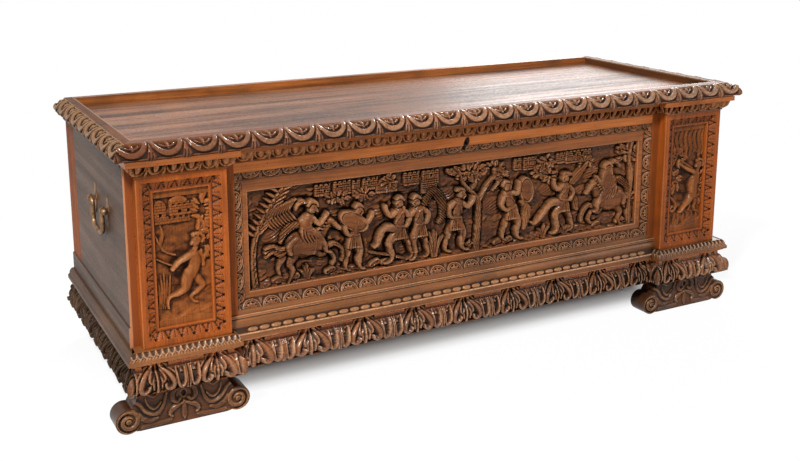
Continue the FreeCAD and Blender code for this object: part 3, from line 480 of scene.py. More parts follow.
def carvedRun(label, run, trim, carving, spacing=1.5):
    # run: where it starts, the ways along, out and up, its section and its ends by how far out a place is
    points, normals, places, carvedRows, kinds = [], [], [], [], []
    for kind, line in run["section"]:
        if kind == "carved":
            q, s, n, length = resampled(line, spacing)
            s = length - s if run.get("turned") else s
        else:
            q = np.array(line, float)
            s, n, length = np.full(len(q), np.nan), np.zeros((len(q), 2)), 0
        points.append(q)
        normals.append(n)
        places.append(s)
        carvedRows.append(np.full(len(q), length))
        kinds += [kind] * len(q)
    q, n = np.vstack(points), np.vstack(normals)
    s, lengths = np.concatenate(places), np.concatenate(carvedRows)
    low, high = run["ends"]

    def edgeAt(end, o):
        return np.interp(o, [p[0] for p in end], [p[1] for p in end])

    columns = int((high[0][1] - low[0][1]) / spacing) + 1
    t = np.linspace(0, 1, columns)[None, :]
    o = q[:, 0][:, None]
    u = edgeAt(low, o) + (edgeAt(high, o) - edgeAt(low, o)) * t
    rows = ~np.isnan(s)
    v = np.where(rows, s, 0)[:, None] * np.ones_like(u)
    a, b = u[rows], v[rows]
    carved = carving(a, b, lengths[rows][0], trim)
    carved = carved + paintedLightAndWear["toolMarks"] * (np.sin(a / 3.1 + 2 * np.sin(b / 4.0)) * np.sin(b / 2.3 + a / 19.0))
    hollow, crest, h = np.zeros(u.shape), np.zeros(u.shape), np.zeros(u.shape)
    hollow[rows], crest[rows] = paintedLightAndWearOf(carved, spacing, trim["depth"])
    # painted shade: deep cut-through places are fully dark, and the wash darkens all but the crests
    cut = carved < paintedLightAndWear["cutThrough"]
    cut = cut | np.roll(cut, 1, axis=1) | np.roll(cut, -1, axis=1)
    hollow[rows] = np.where(cut, 1, np.clip(hollow[rows] + trim.get("dusk", 0.0) * (1 - crest[rows]), 0, 1))
    if "pit" in trim:
        # painted shade on all that lies under this height
        hollow[rows] = np.maximum(hollow[rows], np.clip((trim["pit"] - carved) / paintedLightAndWear["shadeBelowEdge"], 0, 1))
    if "shine" in trim:
        # wear and painted highlight on all that stands over this height
        crest[rows] = np.maximum(crest[rows], np.clip((carved - trim["shine"]) / paintedLightAndWear["highlightEdge"], 0, 1))
    # rows that are all crest take wear and painted highlight in full; dark rows take painted shade in full
    crest[np.array(kinds) == "wornAndHighlit"] = 1
    hollow[np.array(kinds) == "dark"] = 1
    h[rows] = carved * trim.get("rise", 1.0)
    o2 = o + n[:, 0][:, None] * h
    z2 = q[:, 1][:, None] + n[:, 1][:, None] * h
    u2 = edgeAt(low, o2) + (edgeAt(high, o2) - edgeAt(low, o2)) * t
    along, out, up, origin = (np.array(w, float) for w in (run["along"], run["out"], run["up"], run["origin"]))
    where = origin + u2[..., None] * along + o2[..., None] * out + z2[..., None] * up
    return closedUp(gridOf(label, columns, len(q), where, hollow, crest))


def frontRun(label, face, section, ends, trim, carving, spacing=1.5):
    # a run across the front, over the plane y = face
    return carvedRun(label, {"origin": (0, face, 0), "along": (1, 0, 0), "out": (0, -1, 0), "up": (0, 0, 1),
                             "section": section, "ends": ends}, trim, carving, spacing)


def depthRun(label, x, facing, section, ends, trim, carving, spacing=1.5):
    # a run from front to back, over the plane at x, that faces left (-1) or right (1)
    return carvedRun(label, {"origin": (x, 0, 0), "along": (0, 1, 0), "out": (facing, 0, 0), "up": (0, 0, 1),
                             "section": section, "ends": ends}, trim, carving, spacing)


# the carved scenes: every limb is a rounded band, with its rise, its lift over the ground and its points
# (x, z, half width), all in mm
def windowOf(x, z, points):
    # the part of a panel that a band can reach
    p = np.array(points, float)
    reach = p[:, 2].max() + 1
    c = (x > p[:, 0].min() - reach) & (x < p[:, 0].max() + reach)
    r = (z > p[:, 1].min() - reach) & (z < p[:, 1].max() + reach)
    return (np.ix_(r, c), *np.meshgrid(x[c], z[r]))


def layBand(h, x, z, rise, lift, points, folds=0.0):
    spot, xx, zz = windowOf(x, z, points)
    band = bandThrough(xx, zz, points, 1.0, 0.5, 6)
    body = lift + rise * band
    if folds:
        (ax, az), (bx, bz) = points[0][:2], points[-1][:2]
        way = np.arctan2(bz - az, bx - ax)
        across = (xx - ax) * np.sin(way) - (zz - az) * np.cos(way)
        body = body - folds * (0.5 + 0.5 * np.cos(across * 2 * pi / 5.2 + 1.2 * np.sin(zz / 9)))
    h[spot] = np.where(band > .02, np.maximum(h[spot], body), h[spot])


def swell(h, x, z, rise, points):
    # a soft muscle or fold on a figure that is already there
    spot, xx, zz = windowOf(x, z, points)
    h[spot] = h[spot] + rise * bandThrough(xx, zz, points, 1.0, 1.6, 5) * np.clip((h[spot] - 3.5) / 2, 0, 1)


def layOval(h, x, z, rise, lift, cx, cz, a, b, turn, rim=1.6):
    # a shield: a raised rim round a domed field with a boss
    xx, zz = np.meshgrid(x, z)
    t = radians(turn)
    u = (xx - cx) * np.cos(t) + (zz - cz) * np.sin(t)
    v = -(xx - cx) * np.sin(t) + (zz - cz) * np.cos(t)
    r = np.hypot(u / a, v / b)
    body = lift + rise * (1 - .45 * r ** 2) + rim * np.exp(-((r - .93) / .05) ** 2)
    body = body - .9 * np.exp(-((r - .83) / .04) ** 2)
    body = body + 1.8 * np.sqrt(np.clip(1 - (r / .2) ** 2, 0, 1))
    h[:] = np.where(r < 1, np.maximum(h, body), h)


def layLeaves(h, x, z, seed, cx, cz, a, b, count, size, rise, lift, spiky=0.35):
    # leaves strewn over an oval
    rng = np.random.default_rng(seed)
    for k in range(count):
        t, q = rng.uniform(0, 2 * pi), np.sqrt(rng.uniform(0, 1))
        px, pz = cx + a * q * np.cos(t), cz + b * q * np.sin(t)
        way = t + rng.normal(0, .5)
        n = size * rng.uniform(.75, 1.25)
        layBand(h, x, z, rise, lift + rng.uniform(0, 2.0), [
            (px, pz, n * .12), (px + n * .5 * np.cos(way), pz + n * .5 * np.sin(way), n * spiky),
            (px + n * np.cos(way), pz + n * np.sin(way), n * .08)])


def layTuft(h, x, z, seed, cx, cz, height, spread, count, lift=1.5):
    # blades that fan out from one root
    rng = np.random.default_rng(seed)
    for k in range(count):
        s = (k / max(count - 1, 1) - .5) * 2 + rng.normal(0, .1)
        n = height * rng.uniform(.7, 1.1) * (1 - .25 * abs(s))
        layBand(h, x, z, 5.5, lift, [(cx + s * spread * .25, cz, 2.2), (cx + s * spread * .6, cz + n * .6, 2.8),
                                     (cx + s * spread * 1.25, cz + n, .7)])


def layWall(h, x, z, x0, x1, z0, z1, lift, course=6.5, brick=13.0, crown=0.0, doors=()):
    # a wall of bricks with teeth along its top, or rounded there by crown, and dark doors (x, z, half width, height)
    xx, zz = np.meshgrid(x, z)
    inside = (xx > x0) & (xx < x1) & (zz > z0) & (zz < z1)
    if crown:
        top = z1 - crown * ((xx - (x0 + x1) / 2) / ((x1 - x0) / 2)) ** 2
        inside &= zz < top
    row = np.floor((zz - z0) / course)
    joint = np.abs(((zz - z0) / course) % 1 - .5)
    across = ((xx - x0) / brick + .5 * (row % 2)) % 1
    mortar = (joint > .40) | (np.abs(across - .5) > .46)
    if not crown:
        inside &= ~((zz > z1 - 6) & (((xx - x0) / 12) % 1 > .58))
    edge = np.minimum(np.minimum(xx - x0, x1 - xx), 3) / 3
    body = lift + 1.2 * np.clip(edge, 0, 1) - 1.1 * mortar
    for dx, dz, w, t in doors:
        gap = (np.abs(xx - dx) < w) & (zz > dz) & (zz < dz + t - (np.abs(xx - dx) / w) ** 2 * w * .6)
        body = np.where(gap, lift - 4.5, body)
    h[:] = np.where(inside, np.maximum(body, 0), h)


def groundOf(x, z, seed, foot):
    # ground left by the gouge: lumps, short strokes in changing directions, and earth under the feet
    xx, zz = np.meshgrid(x, z)
    rng = np.random.default_rng(seed)
    h = np.zeros(xx.shape)
    for k in range(26):
        a, b = rng.normal(0, .07, 2)
        h = h + np.sin(xx * a * 1.5 + zz * b * 2.4 + rng.uniform(0, 6)) * .26
    stroke = np.sin((zz + 15 * np.sin(xx / 47 + 1) + 8 * np.sin(zz / 31 + xx / 83)) * 2 * pi / 9 + h)
    h = h + .45 * stroke * np.clip(np.sin(xx / 31 + 2 * np.sin(zz / 23)) + .2, 0, 1)
    rise = foot + 12 + 7 * np.sin(xx / 27) + 3 * np.sin(xx / 8.3)
    earth = np.clip((rise - zz) / 10, 0, 1)
    return h + 5.2 * earth + 1.0 * earth * np.sin(xx / 5.7 + 2 * np.sin(zz / 6)) * np.sin(zz / 3.1 + xx / 13)


def chiselled(h, xx, zz):
    # shallow facets left by the tool, with the highest places worn flatter
    h = h + .30 * np.sin(xx / 3.1 + 2.1 * np.sin(zz / 7.3)) * np.sin(zz / 2.7 + 1.7 * np.sin(xx / 9.1))
    return np.where(h > 12.5, 12.5 + (h - 12.5) * .45, h)


def rider(h, x, z, cx, cz, way):
    # a horse seen from its quarter with a helmeted rider, facing along way
    def lay(rise, lift, points, folds=0.0):
        layBand(h, x, z, rise, lift, [(cx + way * px, cz + pz, r) for px, pz, r in points], folds)

    def soft(rise, points):
        swell(h, x, z, rise, [(cx + way * px, cz + pz, r * 1.5) for px, pz, r in points])

    # horse: legs, tail, body, neck, head and mane
    lay(4.5, 1, [(-52, -28, 9), (-66, -50, 5), (-62, -74, 4), (-68, -92, 4.5)])
    lay(6, 1, [(30, -16, 10), (52, -26, 7), (70, -14, 5.5), (92, -30, 4.5), (96, -52, 4.5), (90, -57, 4)])
    lay(6, 2, [(24, -20, 11), (40, -36, 7), (58, -30, 5.5), (72, -50, 4), (66, -62, 4)])
    lay(7, 1, [(-20, -24, 14), (-36, -46, 9), (-30, -66, 6), (-42, -90, 4.5), (-36, -95, 5)])
    for k, (a, b) in enumerate(((0, 0), (-2, -7), (3, 6))):
        lay(6, 1 + k * .8, [(-36, -6 + a, 6), (-58, -16 + b, 6), (-78, -6 + b, 5), (-98, -12 + b * 1.5, 2)], .8)
    lay(11, 1, [(28, -8, 21), (16, -11, 24), (4, -12, 26), (-8, -9, 29), (-19, -5, 32)])
    lay(3.5, 9.5, [(-24, 12, 6), (-40, -4, 7), (-38, -20, 5)])
    soft(2.2, [(-8, -22, 4), (8, -28, 5), (22, -26, 4)])
    soft(2.0, [(30, 4, 6), (38, -8, 6), (36, -20, 4)])
    soft(1.8, [(20, 14, 1.6), (24, -6, 1.6), (18, -30, 1.6)])
    lay(9, 1, [(32, 4, 17), (50, 26, 12), (60, 40, 10)])
    lay(9, 3, [(58, 44, 9.5), (70, 36, 7.5), (84, 22, 6)])
    soft(2.2, [(60, 46, 2.4), (66, 44, 2.4)])
    lay(4, 6, [(54, 52, 3), (53, 60, 1.4)])
    soft(1.4, [(64, 52, 1.2), (70, 38, 1.2), (66, 28, 1.2), (54, 32, 1.2), (36, 30, 1.2)])
    for k in range(6):
        q = k / 5
        lay(5, 6, [(30 + 26 * q, 12 + 34 * q, 3.2), (22 + 28 * q, 16 + 32 * q, 2.6), (16 + 26 * q, 10 + 34 * q, 1.2)])
    # rider: cuirass with straps, raised arm, helmet with a crest, cloak, boot
    lay(7, 2, [(-14, 44, 7), (-34, 40, 11), (-52, 26, 9), (-60, 8, 4)], 1.6)
    lay(9, 4, [(8, 24, 12), (0, 44, 16), (10, 56, 13)])
    soft(2.2, [(2, 54, 6), (-2, 46, 6)])
    soft(2.2, [(15, 52, 5), (14, 45, 5)])
    soft(1.9, [(-10, 34, 2), (4, 28, 2.2), (20, 30, 2)])
    for k in range(6):
        lay(5, 8, [(-10 + k * 5.5, 30, 3.0), (-8 + k * 7.5, 12, 3.4), (0 + k * 7.5, -2, 2.4)])
    lay(8, 6, [(20, 20, 9.5), (34, 9, 8.5), (42, -4, 6.5), (46, -14, 7), (50, -27, 4.5), (60, -31, 3.5)])
    soft(2.2, [(38, -6, 5), (44, -9, 4.5)])
    lay(7, 8, [(18, 54, 6.5), (34, 40, 5.5), (48, 54, 4.5), (54, 62, 4)])
    lay(9, 5, [(16, 74, 9), (20, 80, 10)])
    lay(4, 8, [(26, 74, 4), (29, 70, 2.5)])
    lay(7, 7, [(6, 86, 4), (14, 94, 6), (26, 90, 4.5), (30, 82, 2.5)])
    lay(5, 6, [(4, 92, 3), (-8, 96, 6), (-20, 88, 4), (-24, 78, 1.5)], 1.0)


def fighter(h, x, z, cx, cz, way, lean=0.0, stride=1.0, helmet=True):
    # a man on foot with the hip at cx, cz; all above the hip leans
    def placed(points, wider=1.0):
        found = []
        for px, pz, r in points:
            t = lean if pz > 0 else 0
            found.append((cx + way * (px * np.cos(t) + pz * np.sin(t)), cz - px * np.sin(t) + pz * np.cos(t),
                          r * wider))
        return found

    def lay(rise, lift, points, folds=0.0):
        layBand(h, x, z, rise, lift, placed(points), folds)

    def soft(rise, points):
        swell(h, x, z, rise, placed(points, 1.5))

    # legs, skirt, body, arms, neck and head
    lay(8, 1, [(-5, -2, 11), (-16 * stride, -30, 9), (-21 * stride, -44, 6), (-25 * stride, -56, 7),
               (-27 * stride, -70, 4.4), (-22 * stride, -78, 4.4), (-14 * stride, -80, 3.2)])
    soft(2.2, [(-18 * stride, -36, 4), (-20 * stride, -42, 4)])
    lay(9, 3, [(5, -4, 11), (18 * stride, -31, 9.5), (18 * stride, -44, 6.5), (15 * stride, -56, 7.5),
               (15 * stride, -71, 4.6), (22 * stride, -79, 4.4), (31 * stride, -80, 3)])
    soft(2.2, [(19 * stride, -36, 4.5), (19 * stride, -43, 4.5)])
    soft(1.5, [(8 * stride, -62, 1.6), (22 * stride, -63, 1.6)])
    for k in range(7):
        q = k / 6 - .5
        lay(4.5, 6.5 + (k % 2) * .7, [(q * 20, 6, 2.6), (q * 27, -9, 3.2), (q * 34, -24, 3.0)])
        soft(1.5, [(q * 34 - 1.5, -25, 2), (q * 34 + 1.5, -27, 2)])
    lay(10, 3, [(0, 4, 13), (0, 24, 13), (0, 40, 15)])
    soft(2.2, [(-7, 38, 5.5), (-6, 31, 5.5)])
    soft(2.2, [(7, 38, 5.5), (6, 31, 5.5)])
    soft(1.9, [(0, 24, 4), (0, 12, 4)])
    soft(2.2, [(-13, 8, 2), (0, 5.5, 2.2), (13, 8, 2)])
    soft(2.2, [(-13, 44, 3.5), (0, 38, 2), (12, 16, 1.6)])
    lay(7, 6, [(-13, 40, 7), (-26, 26, 6), (-20, 8, 5), (-8, 4, 4)])
    lay(7, 7, [(12, 40, 7), (27, 34, 6), (38, 48, 5), (40, 58, 4.5)])
    lay(5, 5, [(1, 46, 5.5), (2, 54, 5.5)])
    lay(9, 5, [(2, 60, 8), (4, 66, 9)])
    lay(4, 8, [(10, 64, 3), (13.5, 61, 2), (11, 57, 2.2)])
    soft(1.5, [(6, 68, 1.6), (11, 67, 1.4)])
    lay(4, 7, [(4, 55, 2.6), (10, 54, 2.2)])
    if helmet:
        lay(6, 7, [(-7, 70, 3.5), (2, 76, 6), (12, 72, 3)])
    else:
        for k in range(5):
            lay(4, 7, [(-6 + k * 4, 72, 2.6), (-9 + k * 4, 76, 2.4), (-14 + k * 5, 70, 1.5)])


def friezeHeights(x, z):
    h = groundOf(x, z, 3, 262)
    xx, zz = np.meshgrid(x, z)

    def lay(rise, lift, points, folds=0.0):
        layBand(h, x, z, rise, lift, points, folds)

    # far walls and towers (left, right, top, doors), and round topped trees
    farWalls = ((-386, -348, 480, ((-362, 458, 3, 9),)), (-340, -296, 482, ((-330, 466, 2.5, 8),)),
                (-292, -272, 478, ()), (-266, -226, 481, ((-250, 464, 3, 8),)),
                (-158, -116, 481, ((-140, 462, 3, 9),)),
                (-108, -62, 480, ((-84, 462, 3, 9),)), (96, 128, 476, ()), (155, 178, 480, ((166, 462, 3, 9),)),
                (184, 222, 480, ((202, 464, 3, 8),)), (285, 312, 481, ((300, 462, 3, 9),)),
                (314, 396, 482, ((342, 466, 5, 12), (366, 466, 5, 12))))
    for k, (left, right, top, doors) in enumerate(farWalls):
        layWall(h, x, z, left, right, 452 - 3 * (k % 3), top, 2.6, 5.5, 11, 0, doors)
    layWall(h, x, z, -232, -176, 440, 478, 3.0, 6, 12, 22)
    layWall(h, x, z, -110, -66, 424, 450, 2.4, 5.5, 11, 0)
    for seed, cx, cz, a, b in ((1, 254, 462, 22, 12), (2, 232, 436, 14, 12), (4, 262, 424, 16, 12),
                               (5, -262, 444, 20, 8), (6, -196, 462, 12, 14), (7, -330, 444, 22, 8),
                               (8, 380, 446, 20, 8), (9, 118, 440, 14, 8)):
        layLeaves(h, x, z, 100 + seed, cx, cz, a, b, 26, 11, 3.0, 1.2)
    # rocks (x, z, half width, half height)
    for cx, cz, a, b in ((-470, 372, 46, 26), (-334, 396, 30, 18), (-230, 392, 34, 20), (-30, 410, 40, 22),
                         (96, 366, 34, 24), (262, 388, 26, 20), (392, 414, 36, 16), (-150, 322, 24, 16),
                         (372, 372, 30, 14)):
        d = np.hypot((xx - cx) / a, (zz - cz) / b)
        grooves = np.sin((zz - .4 * xx) * .8 + 2 * np.sin(xx / 9))
        rock = 3.4 * np.clip(1 - d ** 2, 0, 1) ** .6 + .8 * grooves * np.clip(1 - d, 0, 1)
        h = np.maximum(h, rock + .2)
    # left tree with its spiky leaves
    lay(6, 1, [(-532, 258, 8), (-537, 320, 6.5), (-531, 372, 6), (-514, 412, 5.5), (-492, 446, 5),
               (-466, 482, 4)], .8)
    lay(4, 1, [(-510, 414, 3.4), (-480, 424, 3), (-448, 430, 2)])
    for k in range(9):
        q = k / 8
        for s in (-1, 1):
            lay(4.5, 1.5, [(-505 + 52 * q, 416 + 14 * q, 1.2), (-500 + 56 * q, 416 + 14 * q + s * 12, 4.6),
                           (-488 + 56 * q, 416 + 14 * q + s * 26, .8)])
            lay(4.5, 1.2, [(-530 + 60 * q, 380 + 92 * q, 1.2), (-530 + 60 * q + s * 12, 388 + 92 * q, 4.2),
                           (-528 + 60 * q + s * 27, 402 + 84 * q, .8)])
    # the first rider, and the soldier with a tilted shield
    rider(h, x, z, -412, 350, 1)
    fighter(h, x, z, -290, 345, 1, .12, .8)
    layOval(h, x, z, 6, 8, -292, 383, 40, 21, -31)
    # fallen lance and stones
    lay(5, 2, [(-250, 301, 2.4), (-200, 286, 2.2), (-150, 268, 2.6)])
    for k, cx in enumerate((-480, -440, -350, -236, -206, 110, 140, 236, 300, 350, 420, 500)):
        lay(5, 2, [(cx - 9, 268 + k % 3, 7), (cx + 6, 272 + k % 4, 8)])
    # the two that fight over a fallen one
    fighter(h, x, z, -172, 348, -1, -.05, 1.35)
    lay(9, 4, [(-180, 346, 11), (-202, 354, 9), (-217, 348, 6.5), (-224, 334, 7), (-230, 318, 4.5),
               (-240, 312, 3.5)])
    fighter(h, x, z, -116, 346, -1, .12, .9)
    lay(7, 2, [(-104, 392, 9), (-80, 424, 11), (-60, 412, 12), (-48, 386, 11), (-50, 358, 8), (-62, 346, 4)], 2.0)
    layTuft(h, x, z, 61, -76, 262, 70, 18, 8, 3)
    layTuft(h, x, z, 62, -408, 262, 34, 16, 7)
    layTuft(h, x, z, 63, 14, 262, 30, 16, 6)
    layTuft(h, x, z, 64, 248, 262, 40, 14, 6)
    layTuft(h, x, z, 65, 318, 262, 32, 16, 6)
    # the one under the tree, the forked tree
    fighter(h, x, z, -14, 348, 1, .15, 1.1, False)
    lay(7, 2, [(46, 256, 13), (50, 300, 8), (52, 350, 8), (50, 384, 8), (34, 408, 6), (10, 432, 5),
               (-8, 470, 4)], 1.0)
    lay(6, 2, [(52, 380, 7), (64, 404, 5), (84, 432, 4.5), (112, 446, 3.5)], .8)
    lay(5, 2, [(30, 412, 4), (44, 440, 3.4), (50, 476, 2.4)])
    layLeaves(h, x, z, 71, 20, 464, 48, 16, 34, 17, 4.5, 1.5)
    layLeaves(h, x, z, 72, 92, 462, 26, 12, 16, 15, 4.5, 1.5)
    # the leaning one with an oval shield
    fighter(h, x, z, 150, 352, 1, -.35, 1.0)
    layOval(h, x, z, 6, 7, 190, 397, 20, 34, 8)
    lay(8, 4, [(182, 366, 8), (196, 344, 10), (190, 312, 8), (184, 296, 4)], 2.0)
    lay(5, 3, [(90, 408, 2.2), (118, 432, 2.2)])
    # the striding one in a tunic and cloak
    fighter(h, x, z, 308, 350, -1, -.12, 1.2, False)
    lay(9, 4, [(300, 346, 11), (278, 352, 9.5), (258, 342, 6.5), (246, 328, 7), (226, 310, 4.5),
               (214, 304, 3.5), (206, 310, 3)])
    swell(h, x, z, 2.2, [(262, 346, 6.5), (256, 340, 6.5)])
    lay(7, 3, [(322, 392, 8), (348, 408, 13), (368, 428, 9), (384, 446, 3)], 1.8)
    lay(7, 3, [(330, 372, 8), (346, 350, 11), (352, 326, 6)], 1.8)
    # the rider on the right
    rider(h, x, z, 466, 342, -1)
    layOval(h, x, z, 6, 9, 446, 396, 17, 35, -6)
    # right tree
    lay(7, 2, [(532, 256, 9), (528, 330, 7), (534, 400, 6.5), (524, 440, 5), (530, 482, 4)], 1.0)
    layLeaves(h, x, z, 73, 516, 456, 26, 20, 26, 17, 4.5, 1.5)
    # the ground lies deeper close round the figures
    figure = (h > 6.5).astype(float)
    near = np.clip(blurred(figure, 8) * 2.4, 0, 1)
    h = np.where(figure > 0, h, h + 3.0 * (1 - near))
    # the chisel's edges stand out crisply, and broad bodies swell a little towards their middle
    h = h + .8 * np.clip(h - blurred(h, 2), -1.6, 1.6) + .4 * np.clip(h - blurred(h, 5), -2.5, 2.5)
    h = h + figure * 1.3 * np.clip(blurred(figure, 10) * 2 - .95, 0, 1) ** .8
    return chiselled(h, xx, zz)


def childHeights(x, z, way):
    # pilaster panels: on the left a child runs under a small town, on the right one reaches up into the trees
    h = groundOf(x, z, 8, 240) * .6 + 4.5
    xx, zz = np.meshgrid(x, z)

    def lay(rise, lift, points, folds=0.0):
        layBand(h, x, z, rise, lift, points, folds)

    def soft(rise, points):
        swell(h, x, z, rise, [(px, pz, r * 1.5) for px, pz, r in points])

    def curls(seed, cx, cz, start, end, count):
        rng = np.random.default_rng(seed)
        for t in np.linspace(start, end, count):
            px, pz = cx + 12 * np.cos(t), cz + 12 * np.sin(t)
            lay(4, 8 + rng.uniform(0, 1.5), [(px, pz, 3.4), (px + rng.normal(0, 2.6), pz + rng.normal(0, 2.6), 3.2)])

    if way > 0:
        h -= 4.5 * np.exp(-(((xx + 2) / 27) ** 2 + ((zz - 344) / 50) ** 2) ** 2)
        layWall(h, x, z, -58, -31, 456, 498, 7.0, 6, 12, 13, ((-44, 462, 3, 8),))
        layWall(h, x, z, -25, 34, 462, 490, 7.0, 6, 12, 0, ((-2, 466, 3.5, 8), (16, 466, 3, 8)))
        layWall(h, x, z, -25, 14, 488, 504, 8.0, 40, 60, 9)
        layWall(h, x, z, -58, 20, 446, 462, 6.2, 6, 12)
        layLeaves(h, x, z, 85, 44, 462, 13, 38, 40, 12, 4.0, 5.0)
        layLeaves(h, x, z, 91, 48, 392, 10, 26, 22, 13, 4.0, 4.0)
        lay(4, 4, [(-42, 388, 2), (-46, 404, 4), (-41, 422, 5), (-45, 444, 1.5)], .8)
        lay(4, 4, [(-57, 424, 2.5), (-46, 398, 3), (-34, 384, 3), (-16, 376, 2)], .6)
        for k in range(5):
            lay(3.5, 3.6, [(-54 + 4 * k, 262, 1.4), (-52 + 5 * k, 296 + 8 * (k % 2), 3.4),
                           (-56 + 7 * k, 328 + 7 * (k % 3), .8)])
        # far leg, near leg, body, arm with a stick, head with curls
        lay(6, 3, [(24, 326, 10), (37, 307, 8.5), (41, 300, 7), (27, 288, 5.6), (15, 279, 4.6), (20, 268, 4),
                   (28, 265, 3)])
        lay(9, 4, [(14, 332, 13), (7, 313, 12), (2, 300, 9.5), (-13, 291, 6.6), (-31, 287, 4.8), (-37, 276, 4),
                   (-36, 263, 2.6)])
        lay(10, 4, [(16, 330, 13), (24, 346, 13), (26, 360, 13.5), (23, 372, 12)])
        soft(2.2, [(16, 366, 5), (15, 360, 5)])
        soft(2.2, [(13, 344, 6), (12, 336, 7)])
        soft(2.2, [(2, 306, 5), (-3, 298, 5)])
        lay(5, 4, [(34, 374, 6), (42, 362, 7), (44, 344, 4)], 1.2)
        lay(7, 8, [(22, 374, 7), (5, 367, 6), (-8, 361, 5), (-20, 351, 4.6), (-24, 346, 4)])
        lay(3.5, 6, [(-57, 373, 1.6), (-40, 363, 1.8), (-18, 350, 2)])
        lay(5, 7, [(25, 380, 6), (27, 388, 6)])
        lay(9, 6, [(27, 398, 9), (30, 404, 10.5)])
        lay(4, 10, [(19.5, 400, 2.6), (17.6, 395.5, 1.6)])
        soft(1.8, [(21, 405, 1.6), (25, 406, 1.6)])
        lay(5, 6, [(38, 414, 6), (48, 424, 7), (57, 418, 4)], 1.2)
        curls(90, 32, 406, -.6, 2.5, 14)
    else:
        h -= 4.5 * np.exp(-(((xx + 8) / 22) ** 2 + ((zz - 346) / 50) ** 2) ** 2)
        for k, a in enumerate((-52, -38, -22, -6, 10, 26, 42, 54)):
            lay(3.6, 4, [(a, 424 + 9 * (k % 3), 4), (a + 4, 450, 6), (a - 2, 478, 6.4), (a + 2, 502, 5)], 1.2)
        layLeaves(h, x, z, 86, -30, 436, 28, 14, 26, 15, 4.0, 4.5)
        layLeaves(h, x, z, 87, -40, 368, 13, 22, 18, 15, 4.5, 4.0)
        layLeaves(h, x, z, 92, 50, 340, 6, 40, 16, 12, 3.5, 4.0)
        lay(6, 4, [(-57, 326, 2.4), (-45, 315, 4), (-34, 301, 5), (-36, 288, 5), (-46, 282, 4.6), (-52, 290, 3.4),
                   (-46, 297, 2.4)])
        lay(5, 4, [(10, 304, 1.6), (19, 292, 4.2), (13, 279, 1.6)], .8)
        for k in range(7):
            lay(3.5, 3.6, [(-54 + 16 * k, 244, 2), (-50 + 16 * k, 262 + 5 * (k % 2), 3.4), (-56 + 16 * k, 276, .8)])
        # far leg, near leg, body, both arms raised, head with curls
        lay(6, 3, [(34, 320, 10), (38, 300, 8.5), (34, 287, 5.6), (37, 276, 4.6), (44, 272, 3)])
        lay(9, 4, [(27, 324, 13), (15, 308, 11), (3, 297, 8), (-8, 288, 5.6), (-15, 280, 4.4), (-22, 277, 3)])
        lay(10, 4, [(28, 322, 14), (26, 342, 16), (30, 360, 16), (35, 373, 12)])
        soft(2.2, [(20, 362, 5.5), (19, 354, 5.5)])
        soft(2.2, [(17, 340, 7), (17, 332, 7)])
        soft(2.2, [(16, 310, 6), (8, 302, 5)])
        lay(5, 5, [(30, 386, 5), (12, 400, 4.6), (-8, 412, 4), (-28, 424, 3.2)])
        lay(7, 8, [(36, 379, 8), (20, 388, 6.6), (2, 396, 5.6), (-16, 406, 4.6), (-31, 415, 4.6)])
        lay(4, 10, [(-34, 424, 1.6), (-36, 414, 3), (-33, 404, 1.6)])
        lay(5, 7, [(37, 386, 6), (39, 394, 6)])
        lay(9, 6, [(39, 402, 9), (41, 407, 10)])
        lay(4, 10, [(31, 404, 2.6), (28.8, 399.5, 1.6)])
        soft(1.8, [(33, 409, 1.6), (37, 410, 1.6)])
        curls(93, 43, 408, -.6, 2.5, 14)
    h = chiselled(h, xx, zz)
    # the board's own plain margins over and under the scene
    margin = (zz > 503) | (zz < 237)
    return np.where(margin, 7.6 + .15 * np.sin(xx / 9) * np.sin(zz / 2.1), h)


# the walnut of each piece: its light and dark, its deep colour for dirt and painted shade, its colour for worn and
# highlit crests, its grain and how rough it is
deepBrown = (0.010, 0.0055, 0.0035)
# places with a tone of their own: centre, half sizes, slant, tint, share
# painted shade: a dark slanted spot that stands for the keyhole's opening
ownMarks = {"keyhole": ((0.0025, 0, 0.5405), (0.0070, 900, 0.0135), 0.35, (0.004, 0.003, 0.002), 1.0),
            # painted highlights: pale lines down the front corners of the sides
            "leftArrisHighlight": ((-0.818, -0.2682, 0), (0.0036, 0.0036, 900), 0, (0.50, 0.22, 0.10), 0.6),
            "rightArrisHighlight": ((0.818, -0.2682, 0), (0.0036, 0.0036, 900), 0, (0.50, 0.22, 0.10), 0.6),
            # painted shade: the left end of the front lid rim is darker, where less reflection falls
            "shadedLidEnd": ((-0.86, -0.30, 0.61), (0.62, 0.3, 0.3), 0, (0.085, 0.022, 0.0045), 0.8),
            "redLine": ((0, 0, 0.1535), (900, 900, 0.0085), 0, (0.46, 0.135, 0.030), 0.85)}
carvedPaint = walnut("carvedWalnut", (0.36, 0.104, 0.023), (0.17, 0.050, 0.013), (0.004, 0.0025, 0.002),
                     (0.60, 0.28, 0.12), "X", (0.18, 0.32), wearAndHighlightShare=0.42, sheen=0.12)
postPaint = walnut("postWalnut", (0.35, 0.079, 0.0105), (0.17, 0.039, 0.006), deepBrown, (0.50, 0.19, 0.060), "Z",
                   (0.24, 0.38), sheen=0.12)
reliefPaint = walnut("reliefWalnut", (0.17, 0.054, 0.015), (0.055, 0.019, 0.007), (0.0035, 0.0025, 0.002),
                     (0.54, 0.28, 0.14), "X", (0.11, 0.22), wearAndHighlightShare=0.34, sheen=0.12, spread=0.12)
nichePaint = walnut("nicheWalnut", (0.27, 0.076, 0.016), (0.105, 0.031, 0.008), (0.0035, 0.0025, 0.002),
                    (0.58, 0.29, 0.13), "Z", (0.14, 0.26), wearAndHighlightShare=0.40, sheen=0.08, spread=0.12)
rail = {"light": (0.66, 0.205, 0.047), "dark": (0.34, 0.095, 0.021), "wornAndHighlit": (0.60, 0.28, 0.12)}
